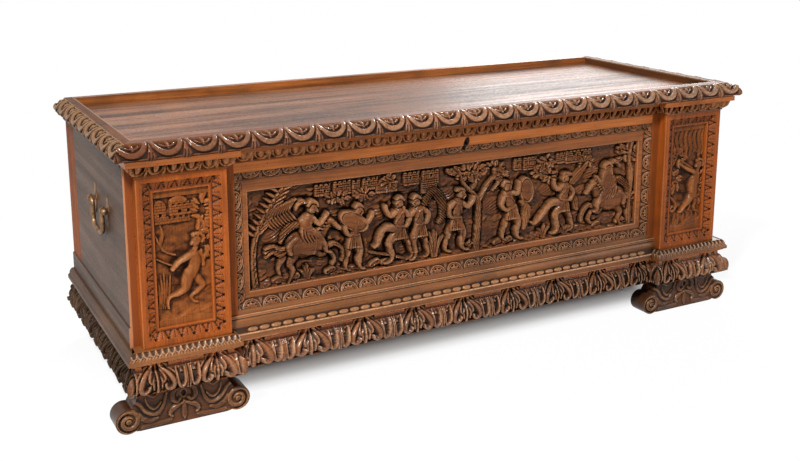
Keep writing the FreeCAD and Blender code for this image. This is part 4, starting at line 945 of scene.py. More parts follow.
railPaint, keyRailPaint = [
    walnut(label, rail["light"], rail["dark"], deepBrown, rail["wornAndHighlit"], "X", (0.26, 0.42), 1.3, sheen=0.12, spread=0.12,
           marks=marks)
    for label, marks in (("railWalnut", []), ("keyholeRailWalnut", [ownMarks["keyhole"]]))]
sillPaint = walnut("sillWalnut", (0.27, 0.100, 0.032), (0.12, 0.042, 0.013), (0.005, 0.0035, 0.003), (0.56, 0.34, 0.20),
                   "X", (0.18, 0.32), wearAndHighlightShare=0.8, sheen=0.20)
stilePaint = walnut("stileWalnut", (0.27, 0.063, 0.0095), (0.13, 0.034, 0.007), deepBrown, (0.44, 0.18, 0.06), "Z",
                    (0.55, 0.70), sheen=0.1)
sidePaint = walnut("sideWalnut", (0.100, 0.048, 0.023), (0.038, 0.018, 0.010), deepBrown, (0.24, 0.15, 0.09), "Y",
                   (0.42, 0.58), sheen=0.16, frontTint=(0.17, 0.040, 0.0075),
                   marks=[ownMarks["leftArrisHighlight"], ownMarks["rightArrisHighlight"]])
sideCarvedPaint = walnut("sideCarvedWalnut", (0.072, 0.032, 0.015), (0.028, 0.013, 0.007), (0.004, 0.003, 0.002),
                         (0.34, 0.24, 0.15), "Y", (0.22, 0.36), wearAndHighlightShare=0.24, sheen=0.07)
boardPaint = walnut("lidBoardWalnut", (0.25, 0.092, 0.032), (0.022, 0.009, 0.005), (0.015, 0.009, 0.006),
                    (0.5, 0.3, 0.16), "X", (0.20, 0.55), 0.8, sheen=0.11, spread=0.08)
rimPaint = walnut("lidRimWalnut", (0.175, 0.043, 0.0070), (0.062, 0.017, 0.0045), (0.003, 0.002, 0.0015),
                  (0.60, 0.34, 0.19), "X", (0.10, 0.22), wearAndHighlightShare=0.42, sheen=0.22, plainRough=0.34,
                  highlightAlongX=(-0.80, -0.15, 0.12, 1.0), marks=[ownMarks["shadedLidEnd"]])
rimSidePaint = walnut("lidRimSideWalnut", (0.14, 0.048, 0.016), (0.052, 0.019, 0.008), (0.003, 0.002, 0.0015),
                      (0.50, 0.31, 0.16), "Y", (0.22, 0.36), wearAndHighlightShare=0.34, sheen=0.08, plainRough=0.25)
hiddenPaint = walnut("hiddenBoards", (0.29, 0.165, 0.085), (0.18, 0.10, 0.05), (0.09, 0.052, 0.028),
                     (0.5, 0.3, 0.16), "X", (0.6, 0.8), sheen=0.12)
leafPaint = walnut("leafWalnut", (0.215, 0.064, 0.016), (0.085, 0.027, 0.009), (0.005, 0.0035, 0.003),
                   (0.56, 0.35, 0.21), "X", (0.14, 0.28), wearAndHighlightShare=0.45, sheen=0.24, marks=[ownMarks["redLine"]])
fanPaint = walnut("panelMouldingWalnut", (0.29, 0.088, 0.021), (0.13, 0.040, 0.011), (0.004, 0.003, 0.002),
                  (0.58, 0.34, 0.19), "X", (0.15, 0.28), wearAndHighlightShare=0.38, sheen=0.17, spread=0.13)
beadPaint = walnut("beadWalnut", (0.29, 0.115, 0.040), (0.15, 0.056, 0.019), deepBrown, (0.52, 0.28, 0.14), "X",
                   (0.16, 0.30), wearAndHighlightShare=0.34, sheen=0.25)
rearRimPaint = walnut("lidRearRimWalnut", (0.40, 0.125, 0.028), (0.11, 0.034, 0.010), (0.012, 0.006, 0.004),
                      (0.56, 0.32, 0.16), "X", (0.26, 0.40), 1.3, spread=0.10)
footPaint = walnut("footWalnut", (0.15, 0.050, 0.016), (0.05, 0.019, 0.008), (0.005, 0.0035, 0.003),
                   (0.52, 0.28, 0.13), "X", (0.14, 0.26), wearAndHighlightShare=0.42, sheen=0.16)


oldMetal = {"metallic": 0.9, "bump": 0.35, "bumpDepth": 0.0008}


def metal(label, light, dark, rust, rough, scale):
    paint, tree, shader = finish(label)
    place = tree.nodes.new("ShaderNodeTexCoord").outputs["Object"]
    patches = noiseOn(tree, place, scale, 5, 0.6, 0.3)
    specks = noiseOn(tree, place, scale * 7, 3, 0.7)
    colour = blendColour(tree, rangeOf(tree, patches, 0.35, 0.65), light, dark)
    colour = blendColour(tree, rangeOf(tree, specks, 0.55, 0.7, 0.0, 0.7), colour, rust)
    tree.links.new(colour, shader.inputs["Base Color"])
    tree.links.new(rangeOf(tree, specks, 0.3, 0.7, *rough), shader.inputs["Roughness"])
    shader.inputs["Metallic"].default_value = oldMetal["metallic"]
    bump = addNode(tree, "ShaderNodeBump", Strength=oldMetal["bump"], Distance=oldMetal["bumpDepth"])
    tree.links.new(sums(tree, "ADD", patches, specks), bump.inputs["Height"])
    tree.links.new(bump.outputs["Normal"], shader.inputs["Normal"])
    return paint


bronzePaint = metal("agedBronze", (0.30, 0.17, 0.085), (0.12, 0.066, 0.034), (0.035, 0.025, 0.018), (0.42, 0.62), 60)
ironPaint = metal("forgedIron", (0.12, 0.11, 0.105), (0.05, 0.046, 0.045), (0.09, 0.04, 0.02), (0.45, 0.7), 45)
print("finishes made")

finishOf = {"lid_boards": boardPaint, "lid_rims": rimPaint, "carved_front": carvedPaint, "case_sides": sidePaint,
            "plain_walnut": railPaint, "hidden_boards": hiddenPaint, "handle_bronze": bronzePaint,
            "fitting_iron": ironPaint}
# pieces that don't look like the rest of their slot
ownFinish = {"front_rail_top": keyRailPaint, "front_rail_bottom": sillPaint, "front_stile_left": stilePaint,
             "front_stile_right": stilePaint, "side_rear_stile_left": stilePaint, "side_rear_stile_right": stilePaint,
             "lid_rim_rear": rearRimPaint, "cap_moulding_side_left": sidePaint, "cap_moulding_side_right": sidePaint,
             "relief_panel": reliefPaint, "pilaster_panel_left": nichePaint, "pilaster_panel_right": nichePaint,
             "foot_front_left": footPaint, "foot_front_right": footPaint}
for part in frame["record"]["subparts"]:
    for slot in nodes[part["node"]].material_slots:
        slot.material = ownFinish.get(part["node"], finishOf[part["material_slot"]])

# lid: three carved rims round the tray of boards
lid = {"foot": 594.5, "top": 628.5, "round": 28, "slope": 3, "frontFlat": 33, "sideFlat": 23, "halfInside": 795,
       "trayFront": -264.2, "back": 312.8, "pitch": 73.6,
       "frontCarving": {"depth": 7, "rise": 1.05, "dusk": 0.18, "pit": -6.4, "shine": -1.6},
       "sideCarving": {"depth": 4.6, "rise": 0.85, "dusk": 0.15, "pit": -6.0, "shine": -1.0}}


def rimSection(flat):
    reach = flat + lid["round"]
    turn = lid["top"] - lid["round"]
    return [("plain", [(0, lid["foot"]), (reach - lid["slope"] - 8, lid["foot"])]),
            ("carved", [(reach - lid["slope"], lid["foot"]), (reach, turn)]
             + arcOf((flat, turn), lid["round"], 0, 90)[1:]),
            ("plain", [(flat - 1, lid["top"]), (5, lid["top"])]),
            ("wornAndHighlit", [(2.2, lid["top"]), (.7, lid["top"] - .6), (0, lid["top"] - 2)]),
            ("plain", [(0, lid["top"] - 5), (0, lid["foot"])])]


# the mitres: how far along a rim goes, by how far out a place is
frontCorner = [(0, lid["halfInside"]), (33, 818), (61, 846), (75, 860)]
sideCorner = [(0, lid["trayFront"]), (23, -297.2), (51, -325.2), (65, -339.2)]
lidFront = frontRun("lidEdgeFront", lid["trayFront"], rimSection(lid["frontFlat"]),
                    ([(o, -x) for o, x in frontCorner], frontCorner),
                    dict(lid["frontCarving"], pitch=lid["pitch"], start=0), lunetteCarving)
dress(lidFront, "lid", rimPaint, ["lid_rim_front"])
for word, side in (("left", -1), ("right", 1)):
    lidSide = depthRun("lidEdge" + word.title(), side * lid["halfInside"], side, rimSection(lid["sideFlat"]),
                       (sideCorner, [(0, lid["back"]), (65, lid["back"])]),
                       dict(lid["sideCarving"], pitch=lid["pitch"], start=sideCorner[2][1] + lid["pitch"] / 2),
                       lunetteCarving)
    dress(lidSide, "lid", rimSidePaint, ["lid_rim_" + word])
print("lid rims carved")

# mouldings of the case: cornice, cap and leaf base, over the centre, the pilasters and the ends
case = {"face": -295.2, "front": -268.2, "back": 312.8, "half": 818, "pilasterOuter": 800, "pilasterInner": 606,
        "pilasterMiddle": 703, "reach": 45, "returnLap": 18}
cornice = {"pitch": 40.0, "start": 0, "depth": 4.4, "rise": 1.25, "dusk": 0.22, "pit": -5.6, "pilasterPitch": 38.3}
scallops = {"pitch": 13.5, "start": -case["pilasterMiddle"], "depth": 4}
# cornerLeaf: how far from a mitre its leaf stands; sideStart: where the ends' first leaf stands behind the face
leaves = {"pitch": 137.5, "start": 0, "depth": 9, "corners": [], "cornerLeaf": 22, "sideStart": 37}


def corniceSection(back):
    return [("plain", [(back, 556), (3, 556)]),
            ("carved", arcOf((-9, 582.2), 27, -63.6, 0)),
            ("plain", [(18, 582), (24, 582), (24, 594), (back, 594), (back, 556)])]


def capSection(back):
    return [("plain", [(back, 158), (13, 158), (19, 160), (19, 168)]),
            ("carved", arcOf((-1, 171.8), 16, 0, 55.7)),
            ("plain", [(8, 185), (back, 185), (back, 158)])]


def capCentreSection(back):
    # a channel for the beads over a plain band; the channel's dark rows are painted shade, its worn rows wear with
    # painted highlight
    return [("plain", [(back, 158), (13, 158)]), ("wornAndHighlit", [(18.6, 159.6)]),
            ("carved", [(19, 161), (19, 168), (18.6, 171)]), ("wornAndHighlit", [(17.8, 173.2)]), ("plain", [(15.6, 174.4)]),
            ("dark", [(12.0, 174.8), (9.4, 176.5), (8.2, 181), (7.6, 184)]),
            ("plain", [(7, 185), (back, 185), (back, 158)])]


# the sill's dark rows are painted shade in its grooves, its worn rows wear with painted highlight on its edges
sillSection = [("plain", [(0, 185), (6.5, 185)]), ("dark", [(8.2, 185.3)]),
               ("carved", [(8.6, 186.6), (9.1, 189), (9.2, 192), (8.9, 195), (8.1, 198), (6.9, 201), (5.4, 203.4)]),
               ("dark", [(3.0, 204.2), (2.6, 205.4)]), ("wornAndHighlit", [(4.2, 206.3)]), ("plain", [(4.2, 207.5), (4.2, 211)]),
               ("wornAndHighlit", [(3.8, 212)]), ("plain", [(0, 212), (0, 185)])]


def leafSection(back):
    return [("plain", [(back, 92), (16, 92)]),
            ("carved", [(22, 92)] + arcOf((-16, 107.8), 42, 0, 60) + [(5, 150)]),
            ("plain", [(12, 156), (12, 158), (back, 158), (back, 92)])]


def centreRunOf(label, section, trim, carving, spacing=1.5):
    inner, reach = case["pilasterInner"], case["reach"]
    ends = [(0, inner), (reach, inner - reach)]
    return frontRun(label, case["front"], section(0), ([(o, -x) for o, x in ends], ends), trim, carving, spacing)


def pilasterRunOf(label, side, section, trim, carving, outer, outerReturn, corners):
    # the front stretch, the short return to the centre, and at the cornice the outer return too
    inner, reach, deep = case["pilasterInner"], case["reach"], case["front"] - case["face"]
    low, high = (-outer, -inner) if side < 0 else (inner, outer)
    ends = ([(-deep, low), (0, low), (reach, low - reach)], [(-deep, high), (0, high), (reach, high + reach)])
    pieces = [frontRun(label + "Front", case["face"], section(-deep), ends,
                       dict(trim, corners=[low - corners, high + corners] if corners else []), carving)]
    for word, edge, facing, deeper in (("Inner", inner, -1, reach), ("Outer", outer, 1, 0)):
        if word == "Outer" and not outerReturn:
            continue
        ends = ([(0, case["face"]), (reach, case["face"] - reach)],
                [(0, case["front"]), (reach, case["front"] - deeper)])
        pieces.append(depthRun(label + word, side * edge, side * facing, section(0), ends, dict(
            trim, start=case["face"] - case["returnLap"] + trim["pitch"] / 2,
            corners=[case["face"] - corners, case["front"] - corners] if corners else []), carving))
    return joined(label, pieces)


def sideRunOf(label, side, section, trim, carving):
    reach = case["reach"]
    ends = ([(0, case["face"]), (reach, case["face"] - reach)], [(0, case["back"]), (reach, case["back"])])
    return depthRun(label, side * case["half"], side, section(0), ends, trim, carving, 1.7)


dress(centreRunOf("corniceCentre", corniceSection, cornice, tongueCarving), "case", carvedPaint,
      ["cornice_centre"])
dress(centreRunOf("capCentre", capCentreSection, scallops, planedCarving, 4), "case", sillPaint,
      ["cap_moulding_centre"])
sill = [[(0, side * case["pilasterInner"]), (case["reach"], side * case["pilasterInner"])] for side in (-1, 1)]
dress(frontRun("sillBand", case["front"], sillSection, sill, scallops, planedCarving, 4), "case",
      sillPaint, ["sill_moulding"])
corner = case["pilasterInner"] - leaves["cornerLeaf"]
dress(centreRunOf("leafBaseCentre", leafSection, dict(leaves, corners=[-corner, corner]), acanthusCarving), "case",
      leafPaint, ["leaf_moulding_centre"])
for word, side in (("Left", -1), ("Right", 1)):
    low = word.lower()
    dress(pilasterRunOf("cornicePilaster" + word, side, corniceSection,
                        dict(cornice, pitch=cornice["pilasterPitch"],
                             start=side * case["pilasterMiddle"] + cornice["pilasterPitch"] / 2), tongueCarving,
                        case["pilasterOuter"], True, 0), "case", carvedPaint,
          ["cornice_pilaster_" + low])
    dress(pilasterRunOf("capPilaster" + word, side, capSection, dict(scallops, start=side * case["pilasterMiddle"]),
                        scallopCarving, case["half"], False, 0), "case", sillPaint,
          ["cap_moulding_pilaster_" + low])
    dress(pilasterRunOf("leafBasePilaster" + word, side, leafSection,
                        dict(leaves, start=side * (case["pilasterInner"] + case["half"]) / 2 - leaves["pitch"] / 2),
                        acanthusCarving, case["half"], False, leaves["cornerLeaf"]),
          "case", leafPaint, ["leaf_moulding_pilaster_" + low])
    dress(sideRunOf("leafBaseSide" + word, side, leafSection,
                    dict(leaves, start=case["face"] + leaves["sideStart"],
                         corners=[case["face"] - leaves["cornerLeaf"]]), acanthusCarving),
          "case", sideCarvedPaint, ["leaf_moulding_side_" + low])
print("mouldings carved")

# panel moulding: four lengths carved with lunettes on the slope
opening = {"half": 582, "foot": 224, "head": 534, "slope": 20, "drop": 10, "fillet": 34, "headFillet": 48,
           "filletDrop": 13, "back": -22, "carving": {"depth": 4.0, "dusk": 0.18, "pit": -4.9}, "keySlot": 17}


def panelSection(fillet):
    slope, drop, back = opening["slope"], -opening["drop"], opening["back"]
    return [("plain", [(fillet, back), (fillet, -opening["filletDrop"] - 1)]),
            ("wornAndHighlit", [(fillet - .8, -opening["filletDrop"])]),
            ("plain", [(fillet - 3, -opening["filletDrop"] + .2), (slope + 2, drop - .3)]),
            ("dark", [(slope, drop)]),
            ("carved", [(slope - .3, drop + .15), (.3, -.15)]),
            ("wornAndHighlit", [(0, 0)]),
            ("plain", [(0, back), (fillet, back)])]


half, fillet, headFillet = opening["half"], opening["fillet"], opening["headFillet"]
inner, front, base, top = half - fillet, case["front"], opening["foot"], opening["head"]
uprightEnds = ([(0, base), (fillet, base + fillet)], [(0, top), (fillet, top - headFillet)])
for word, along, out, origin, ends, start, pitch in (
        ("Bottom", (1, 0, 0), (0, 0, 1), (0, front, base),
         ([(0, -half), (fillet, -inner)], [(0, half), (fillet, inner)]), 23.85, 47.7),
        ("Top", (1, 0, 0), (0, 0, -1), (0, front, top),
         ([(0, -half), (headFillet, -inner)], [(0, half), (headFillet, inner)]), 16, 46.4),
        ("Left", (0, 0, 1), (1, 0, 0), (-half, front, 0), uprightEnds, 379, 46.5),
        ("Right", (0, 0, 1), (-1, 0, 0), (half, front, 0), uprightEnds, 379, 46.5)):
    piece = carvedRun("panelMoulding" + word, {
        "origin": origin, "along": along, "out": out, "up": (0, -1, 0), "section": panelSection(ends[0][1][0]),
        "ends": ends, "turned": True},
        dict(opening["carving"], pitch=pitch, start=start, slot=opening["keySlot"] if word == "Top" else 0),
        fanCarving, 1.2)
    dress(piece, "case", fanPaint, ["panel_moulding_" + word.lower()])
print("panel moulding carved")

# pilaster frames: four lengths with a row of leaves on the slope round each niche
post = {"outer": 800, "inner": 606, "foot": 185, "head": 556, "face": 27, "edge": 13.5, "slope": 17, "sink": 10,
        "fillet": 7, "mitre": 60, "pitchUp": 30.3, "pitchAcross": 27.0, "start": 200,
        "carving": {"depth": 4.6, "dusk": 0.20, "pit": -5.0}}
rim, bed = post["edge"] + post["slope"] + post["fillet"], post["face"] - post["sink"]
postSection = [("plain", [(rim, 0), (rim, bed - 1)]), ("wornAndHighlit", [(rim - .6, bed)]), ("plain", [(rim - 2, bed)]),
               ("dark", [(rim - post["fillet"], bed)]),
               ("carved", [(rim - post["fillet"] - .3, bed + .2), (post["edge"] + .3, post["face"] - .2)]),
               ("plain", [(post["edge"], post["face"]), (3, post["face"])]),
               ("wornAndHighlit", [(1, post["face"] - .1), (.1, post["face"] - 1)]),
               ("plain", [(0, post["face"] - 3), (0, 0), (rim, 0)])]
for word, left, right in (("Left", -post["outer"], -post["inner"]), ("Right", post["inner"], post["outer"])):
    stretches = []
    up = (post["foot"], post["head"], post["start"], post["pitchUp"])
    across = (left, right, (left + right) / 2, post["pitchAcross"])
    for label, along, out, origin, (low, high, start, pitch) in (
            ("A", (0, 0, 1), (1, 0, 0), (left, case["front"], 0), up),
            ("B", (0, 0, 1), (-1, 0, 0), (right, case["front"], 0), up),
            ("C", (1, 0, 0), (0, 0, 1), (0, case["front"], post["foot"]), across),
            ("D", (1, 0, 0), (0, 0, -1), (0, case["front"], post["head"]), across)):
        mitre = post["mitre"]
        stretches.append(carvedRun("post" + word + label, {
            "origin": origin, "along": along, "out": out, "up": (0, -1, 0), "section": postSection,
            "ends": ([(0, low), (mitre, low + mitre)], [(0, high), (mitre, high - mitre)]), "turned": True},
            dict(post["carving"], pitch=pitch, start=start), toothCarving, 1.1))
    dress(joined("pilasterFrame" + word, stretches), "case", postPaint,
          ["pilaster_frame_" + word.lower()])
print("pilaster frames carved")

# relief panel: a plate in the opening and the carved scene on it, in two halves
relief = {"half": 549, "foot": 257, "head": 487, "ground": -238.6, "rear": -233, "plateFront": -234,
          "plateRear": -228.2, "scale": 1.6, "spacing": 1.32, "depth": 9, "reach": 11}


# painted shade on the low ground and in the nooks of a scene, and wear with painted highlights on what stands proud
scenePaintedLightAndWear = {"lowGroundShade": .60, "paintedShade": 1.3, "nooks": 3, "crest": .8, "crestPart": .38, "crestFrom": .35}


def sceneGrid(label, x, z, h, field, middle=0.0):
    # the heights h over x and z as a closed slab: its edge turned back to the rear
    depth, spacing = field["depth"], field["spacing"]
    hollow, crest = paintedLightAndWearOf(h, spacing, depth, field["reach"])
    wide = blurred(h, max(2, int(round(field["reach"] / spacing))))
    paintedShade = np.clip(scenePaintedLightAndWear["lowGroundShade"] - h / depth, 0, scenePaintedLightAndWear["lowGroundShade"]) * scenePaintedLightAndWear["paintedShade"]
    hollow = np.clip(hollow + paintedShade + np.clip((blurred(h, 3) - h) / depth, 0, 1) * scenePaintedLightAndWear["nooks"], 0, 1)
    # painted highlight and wear where a body swells over its surroundings
    proud = np.clip((h - wide) / (depth * scenePaintedLightAndWear["crestPart"]) - scenePaintedLightAndWear["crestFrom"], 0, 1)
    crest = np.maximum(crest, scenePaintedLightAndWear["crest"] * proud)
    xs = np.concatenate([[x[0]], x, [x[-1]]])
    zs = np.concatenate([[z[0]], z, [z[-1]]])
    y = np.pad(field["ground"] - h * field["scale"], 1, constant_values=field["rear"])
    where = np.stack(np.broadcast_arrays(middle + xs[None, :], y, zs[:, None]), axis=-1)
    # the turned-back edge is painted fully shaded
    return closedUp(gridOf(label, len(xs), len(zs), where, np.pad(hollow, 1, constant_values=1.0),
                           np.pad(crest, 1, constant_values=0.0)), 60)


def reshape(place, size=None):
    # stretches and moves the new piece inside its own mesh, so that its object stays at the origin
    bpy.ops.object.mode_set(mode="EDIT")
    bpy.ops.mesh.select_all(action="SELECT")
    if size:
        bpy.ops.transform.resize(value=size, center_override=(0, 0, 0))
    bpy.ops.transform.translate(value=place)
    bpy.ops.object.mode_set(mode="OBJECT")


sx = np.linspace(-relief["half"], relief["half"], int(2 * relief["half"] / relief["spacing"]) + 1)
sz = np.linspace(relief["foot"], relief["head"], int((relief["head"] - relief["foot"]) / relief["spacing"]) + 1)
scene = friezeHeights(sx, sz)
cut = len(sx) // 2
bpy.ops.object.select_all(action="DESELECT")
bpy.ops.mesh.primitive_cube_add(size=1)
plate = bpy.context.object
plate.name = "reliefPlate"
low = (-opening["half"], relief["plateFront"], opening["foot"])
high = (opening["half"], relief["plateRear"], opening["head"])
reshape([(a + b) / 2 * mm for a, b in zip(low, high)], [(b - a) * mm for a, b in zip(low, high)])
dress(plate, "case", reliefPaint, ["relief_panel"])
for label, part in (("reliefSceneLeft", slice(0, cut + 1)), ("reliefSceneRight", slice(cut, None))):
    dress(sceneGrid(label, sx[part], sz, scene[:, part], relief), "case", reliefPaint)
print("relief carved")

# pilaster panels: a child in each
niche = {"half": 59.5, "foot": 222.5, "head": 518.5, "ground": -269.6, "rear": -268.2, "scale": 1.3, "spacing": 1.2,
         "depth": 11, "reach": 9, "columns": 100, "rows": 248}
nx = np.linspace(-niche["half"], niche["half"], niche["columns"])
nz = np.linspace(niche["foot"], niche["head"], niche["rows"])
for word, side in (("Left", -1), ("Right", 1)):
    panel = sceneGrid("pilasterScene" + word, nx, nz, childHeights(nx, nz, -side), niche,
                      side * case["pilasterMiddle"])
    dress(panel, "case", nichePaint, ["pilaster_panel_" + word.lower()])
print("pilaster panels carved")

# front feet: a plate between two volutes, with C scrolls and curled leaves
foot = {"middle": 716, "front": -281.0, "rear": -233.2, "height": 92, "volute": 121, "voluteZ": 27.6, "roll": 27.5,
        "voluteFront": -284.5, "depth": 6, "scale": .80, "voluteScale": .62, "wind": 14.5, "eye": 6.4, "sweep": 1.2}


def footWidth(z):
    # half the plate's width: it follows the volute, then draws in to the neck
    low = 120 + np.sqrt(np.clip(26 ** 2 - (26 - z) ** 2, 0, None)) - 24
    mid = 107 + np.sqrt(np.clip(39 ** 2 - (z - 26) ** 2, 0, None)) - 26
    top = 107 - 17 * (z - 65) / 27
    return np.where(z < 26, low, np.where(z < 60, np.maximum(mid, top), top))


def footCarving(x, z):
    a = np.abs(x)
    h = .3 * np.sin(x / 4.2 + 2 * np.sin(z / 6)) * np.sin(z / 3.4)
    h = banded(h, a, z,
               # the C scroll from the rosette out to the volute, with its leaves
               (0, 8.5, [(38, 76, 3.0), (42, 60, 4.2), (48, 44, 5.0), (58, 33, 5.2), (72, 34, 5.0), (86, 44, 5.0),
                         (96, 60, 5.0), (110, 70, 5.0), (124, 68, 5.0), (136, 58, 4.6)]),
               (2, 5.0, [(50, 58, 2.0), (60, 46, 3.2), (70, 46, 3.2), (80, 58, 2.6), (84, 72, 1.6)]),
               (0, 6.0, [(60, 22, 5.0), (74, 18, 6.0), (88, 24, 6.0), (98, 38, 5.0)]),
               (0, 5.5, [(30, 12, 5.0), (48, 9, 6.0), (70, 8, 6.0), (92, 8, 5.0)]),
               (1, 4.5, [(54, 80, 2.2), (66, 72, 3.0), (80, 80, 2.2)]),
               # four curled leaves round a dark eye
               (0, 9.5, [(3, 84, 3.4), (13, 82, 5.0), (24, 72, 6.2), (25, 58, 6.2), (16, 50, 5.2), (9, 56, 4.0)]),
               (0, 9.0, [(3, 46, 3.4), (12, 42, 5.2), (24, 36, 6.4), (32, 26, 4.6), (27, 19, 3.4)]),
               (0, 8.0, [(0, 48, 4.4), (0, 34, 6.0), (1, 18, 5.4), (0, 9, 2.6)]))
    h = h - 1.8 * np.exp(-((a - 18 - .16 * (66 - z)) / 1.4) ** 2) * (a < 30) * (z > 54)
    h = h - 1.8 * np.exp(-((z - 40 + .38 * (a - 14)) / 1.4) ** 2) * (a > 6) * (a < 30)
    return np.where(np.hypot(a / 5.5, (z - 66) / 7.5) < 1, -4.0, h)


def voluteOf(label, middle, side):
    # a scroll that winds in to a domed eye; its roll runs back
    turns, rings = 73, 25
    way = np.linspace(0, 2 * pi, turns)[None, :]
    r = np.linspace(0, foot["roll"], rings)[:, None] * np.ones_like(way)
    wound = ((foot["roll"] - r) / foot["wind"] + way / (2 * pi)) % 1.0
    h = 10.5 * np.sqrt(np.clip(1 - ((wound - .37) / .37) ** 2, 0, 1)) * np.clip((r - 4) / 4, .0, 1) ** .5 - 3.6
    eye = dome(r, foot["eye"], 9.5)
    h = np.where(r < foot["eye"], eye, np.where(r < foot["eye"] + 1.8, -3.6, h))
    h = np.where(r > 24.9, np.minimum(h, 3.0), h)
    hollow, crest = paintedLightAndWearOf(h, 1.1, foot["depth"])
    y = foot["voluteFront"] - h * foot["voluteScale"]
    x = middle + side * foot["volute"] - side * r * np.cos(way + foot["sweep"])
    z = foot["voluteZ"] + r * np.sin(way + foot["sweep"])
    where = np.stack([x, y, z], axis=-1)
    edge = np.stack([x[-1], np.full(turns, foot["rear"]), z[-1]], axis=-1)[None]
    where = np.concatenate([where, edge])
    # the roll that runs back is painted mostly shaded
    return closedUp(gridOf(label, turns, rings + 1, where, np.vstack([hollow, np.full((1, turns), .7)]),
                           np.vstack([crest, np.zeros((1, turns))])), 60)


for word, side in (("Left", -1), ("Right", 1)):
    fz = np.linspace(0, foot["height"], 70)
    share = np.linspace(-1, 1, 220)
    x = footWidth(fz)[:, None] * share[None, :]
    z = fz[:, None] * np.ones_like(x)
    h = footCarving(x, z)
    hollow, crest = paintedLightAndWearOf(h, 1.3, foot["depth"])
    # painted shade: the low ground of the plate darker still
    hollow = np.clip(hollow + np.clip(.30 - h / foot["depth"], 0, .30) * 2.2, 0, 1)
    y = np.pad(foot["front"] - h * foot["scale"], 1, constant_values=foot["rear"])
    where = np.stack([side * foot["middle"] + np.pad(x, 1, mode="edge"), y, np.pad(z, 1, mode="edge")], axis=-1)
    # the turned-back edge is painted mostly shaded
    plate = closedUp(gridOf("footPlate" + word, len(share) + 2, len(fz) + 2, where,
                            np.pad(hollow, 1, constant_values=.8), np.pad(crest, 1)), 60)
    rolls = [voluteOf("volute" + word + str(k), side * foot["middle"], k) for k in (-1, 1)]
    dress(joined("scrollFoot" + word, [plate] + rolls), "case", footPaint,
          ["foot_front_" + word.lower()])
print("scroll feet carved")

# the row of barrel beads along the centre of the base
bead = {"pitch": 27.7, "half": 12.0, "radius": 5.2, "z": 179.6, "y": -281.0, "reach": 578, "crest": 0.75}
bpy.ops.object.select_all(action="DESELECT")
bpy.ops.mesh.primitive_uv_sphere_add(segments=12, ring_count=8, radius=1)
first = bpy.context.object
first.name = "baseBeads"
p = np.empty(len(first.data.vertices) * 3, np.float32)
first.data.vertices.foreach_get("co", p)
p = p.reshape(-1, 3)
barrel = np.column_stack([np.sign(p[:, 2]) * np.abs(p[:, 2]) ** .7 * bead["half"], p[:, 0] * bead["radius"],
                          p[:, 1] * bead["radius"]])
first.data.vertices.foreach_set("co", (barrel * mm).reshape(-1).astype(np.float32))
count = int(2 * bead["reach"] / bead["pitch"])
beads = [first]
for k in range(1, count):
    other = first.copy()
    other.data = first.data.copy()
    bpy.context.collection.objects.link(other)
    beads.append(other)
for k, other in enumerate(beads):
    other.location = ((k - (count - 1) / 2) * bead["pitch"] * mm, bead["y"] * mm, bead["z"] * mm)
joined("baseBeads", beads)
bpy.ops.object.transform_apply(location=True, rotation=True, scale=True)
bpy.ops.object.shade_smooth()
# every bead takes most of the wear and painted highlight colour
storePaintedLightAndWear(first, np.zeros(len(first.data.vertices)), np.full(len(first.data.vertices), bead["crest"]))
dress(first, "case", beadPaint)
print("beads set")

# the hanging bails: a thick bar that swells, with a ball at each end
bail = {"x": 829, "middle": -59.2, "z": 447, "sides": 16,
        # half of the bar, from the eye down to the middle: (y from the middle, z, radius)
        "path": [(70, 447, 3.9), (62, 447, 4.1), (54, 447, 4.2), (48, 443, 4.8), (45.5, 434, 5.3), (46, 422, 5.6),
                 (46.5, 410, 5.6), (42, 397, 5.6), (31, 390.5, 5.4), (18, 389, 5.2), (9, 389, 5.0), (6, 389, 5.9),
                 (2, 389, 5.4), (0, 389, 5.9)],
        "ball": 7.5, "ballAt": 70.5}
line = np.array(smoothLine(bail["path"] + [(-a, b, r) for a, b, r in bail["path"][-2::-1]], 4))
ahead = np.gradient(line[:, :2], axis=0)
ahead /= np.linalg.norm(ahead, axis=1, keepdims=True)
turn = np.linspace(0, 2 * pi, bail["sides"] + 1)[None, :]
y, z, r = (line[:, k][:, None] for k in range(3))
for word, side in (("left", -1), ("right", 1)):
    where = np.stack([side * bail["x"] + r * np.cos(turn), bail["middle"] + y - ahead[:, 1][:, None] * r * np.sin(turn),
                      z + ahead[:, 0][:, None] * r * np.sin(turn)], axis=-1)
    bare = np.zeros(where.shape[:2])
    pieces = [closedUp(gridOf("bail" + word.title(), bail["sides"] + 1, len(line), where, bare, bare), 60)]
    for end in (-1, 1):
        bpy.ops.object.select_all(action="DESELECT")
        bpy.ops.mesh.primitive_uv_sphere_add(segments=20, ring_count=12, radius=bail["ball"] * mm)
        pieces.append(bpy.context.object)
        reshape((side * bail["x"] * mm, (bail["middle"] + end * bail["ballAt"]) * mm, bail["z"] * mm))
        bpy.ops.object.shade_smooth()
    dress(joined("bail" + word.title(), pieces), "bail_" + word, bronzePaint, ["bail_" + word])
print("bails shaped")

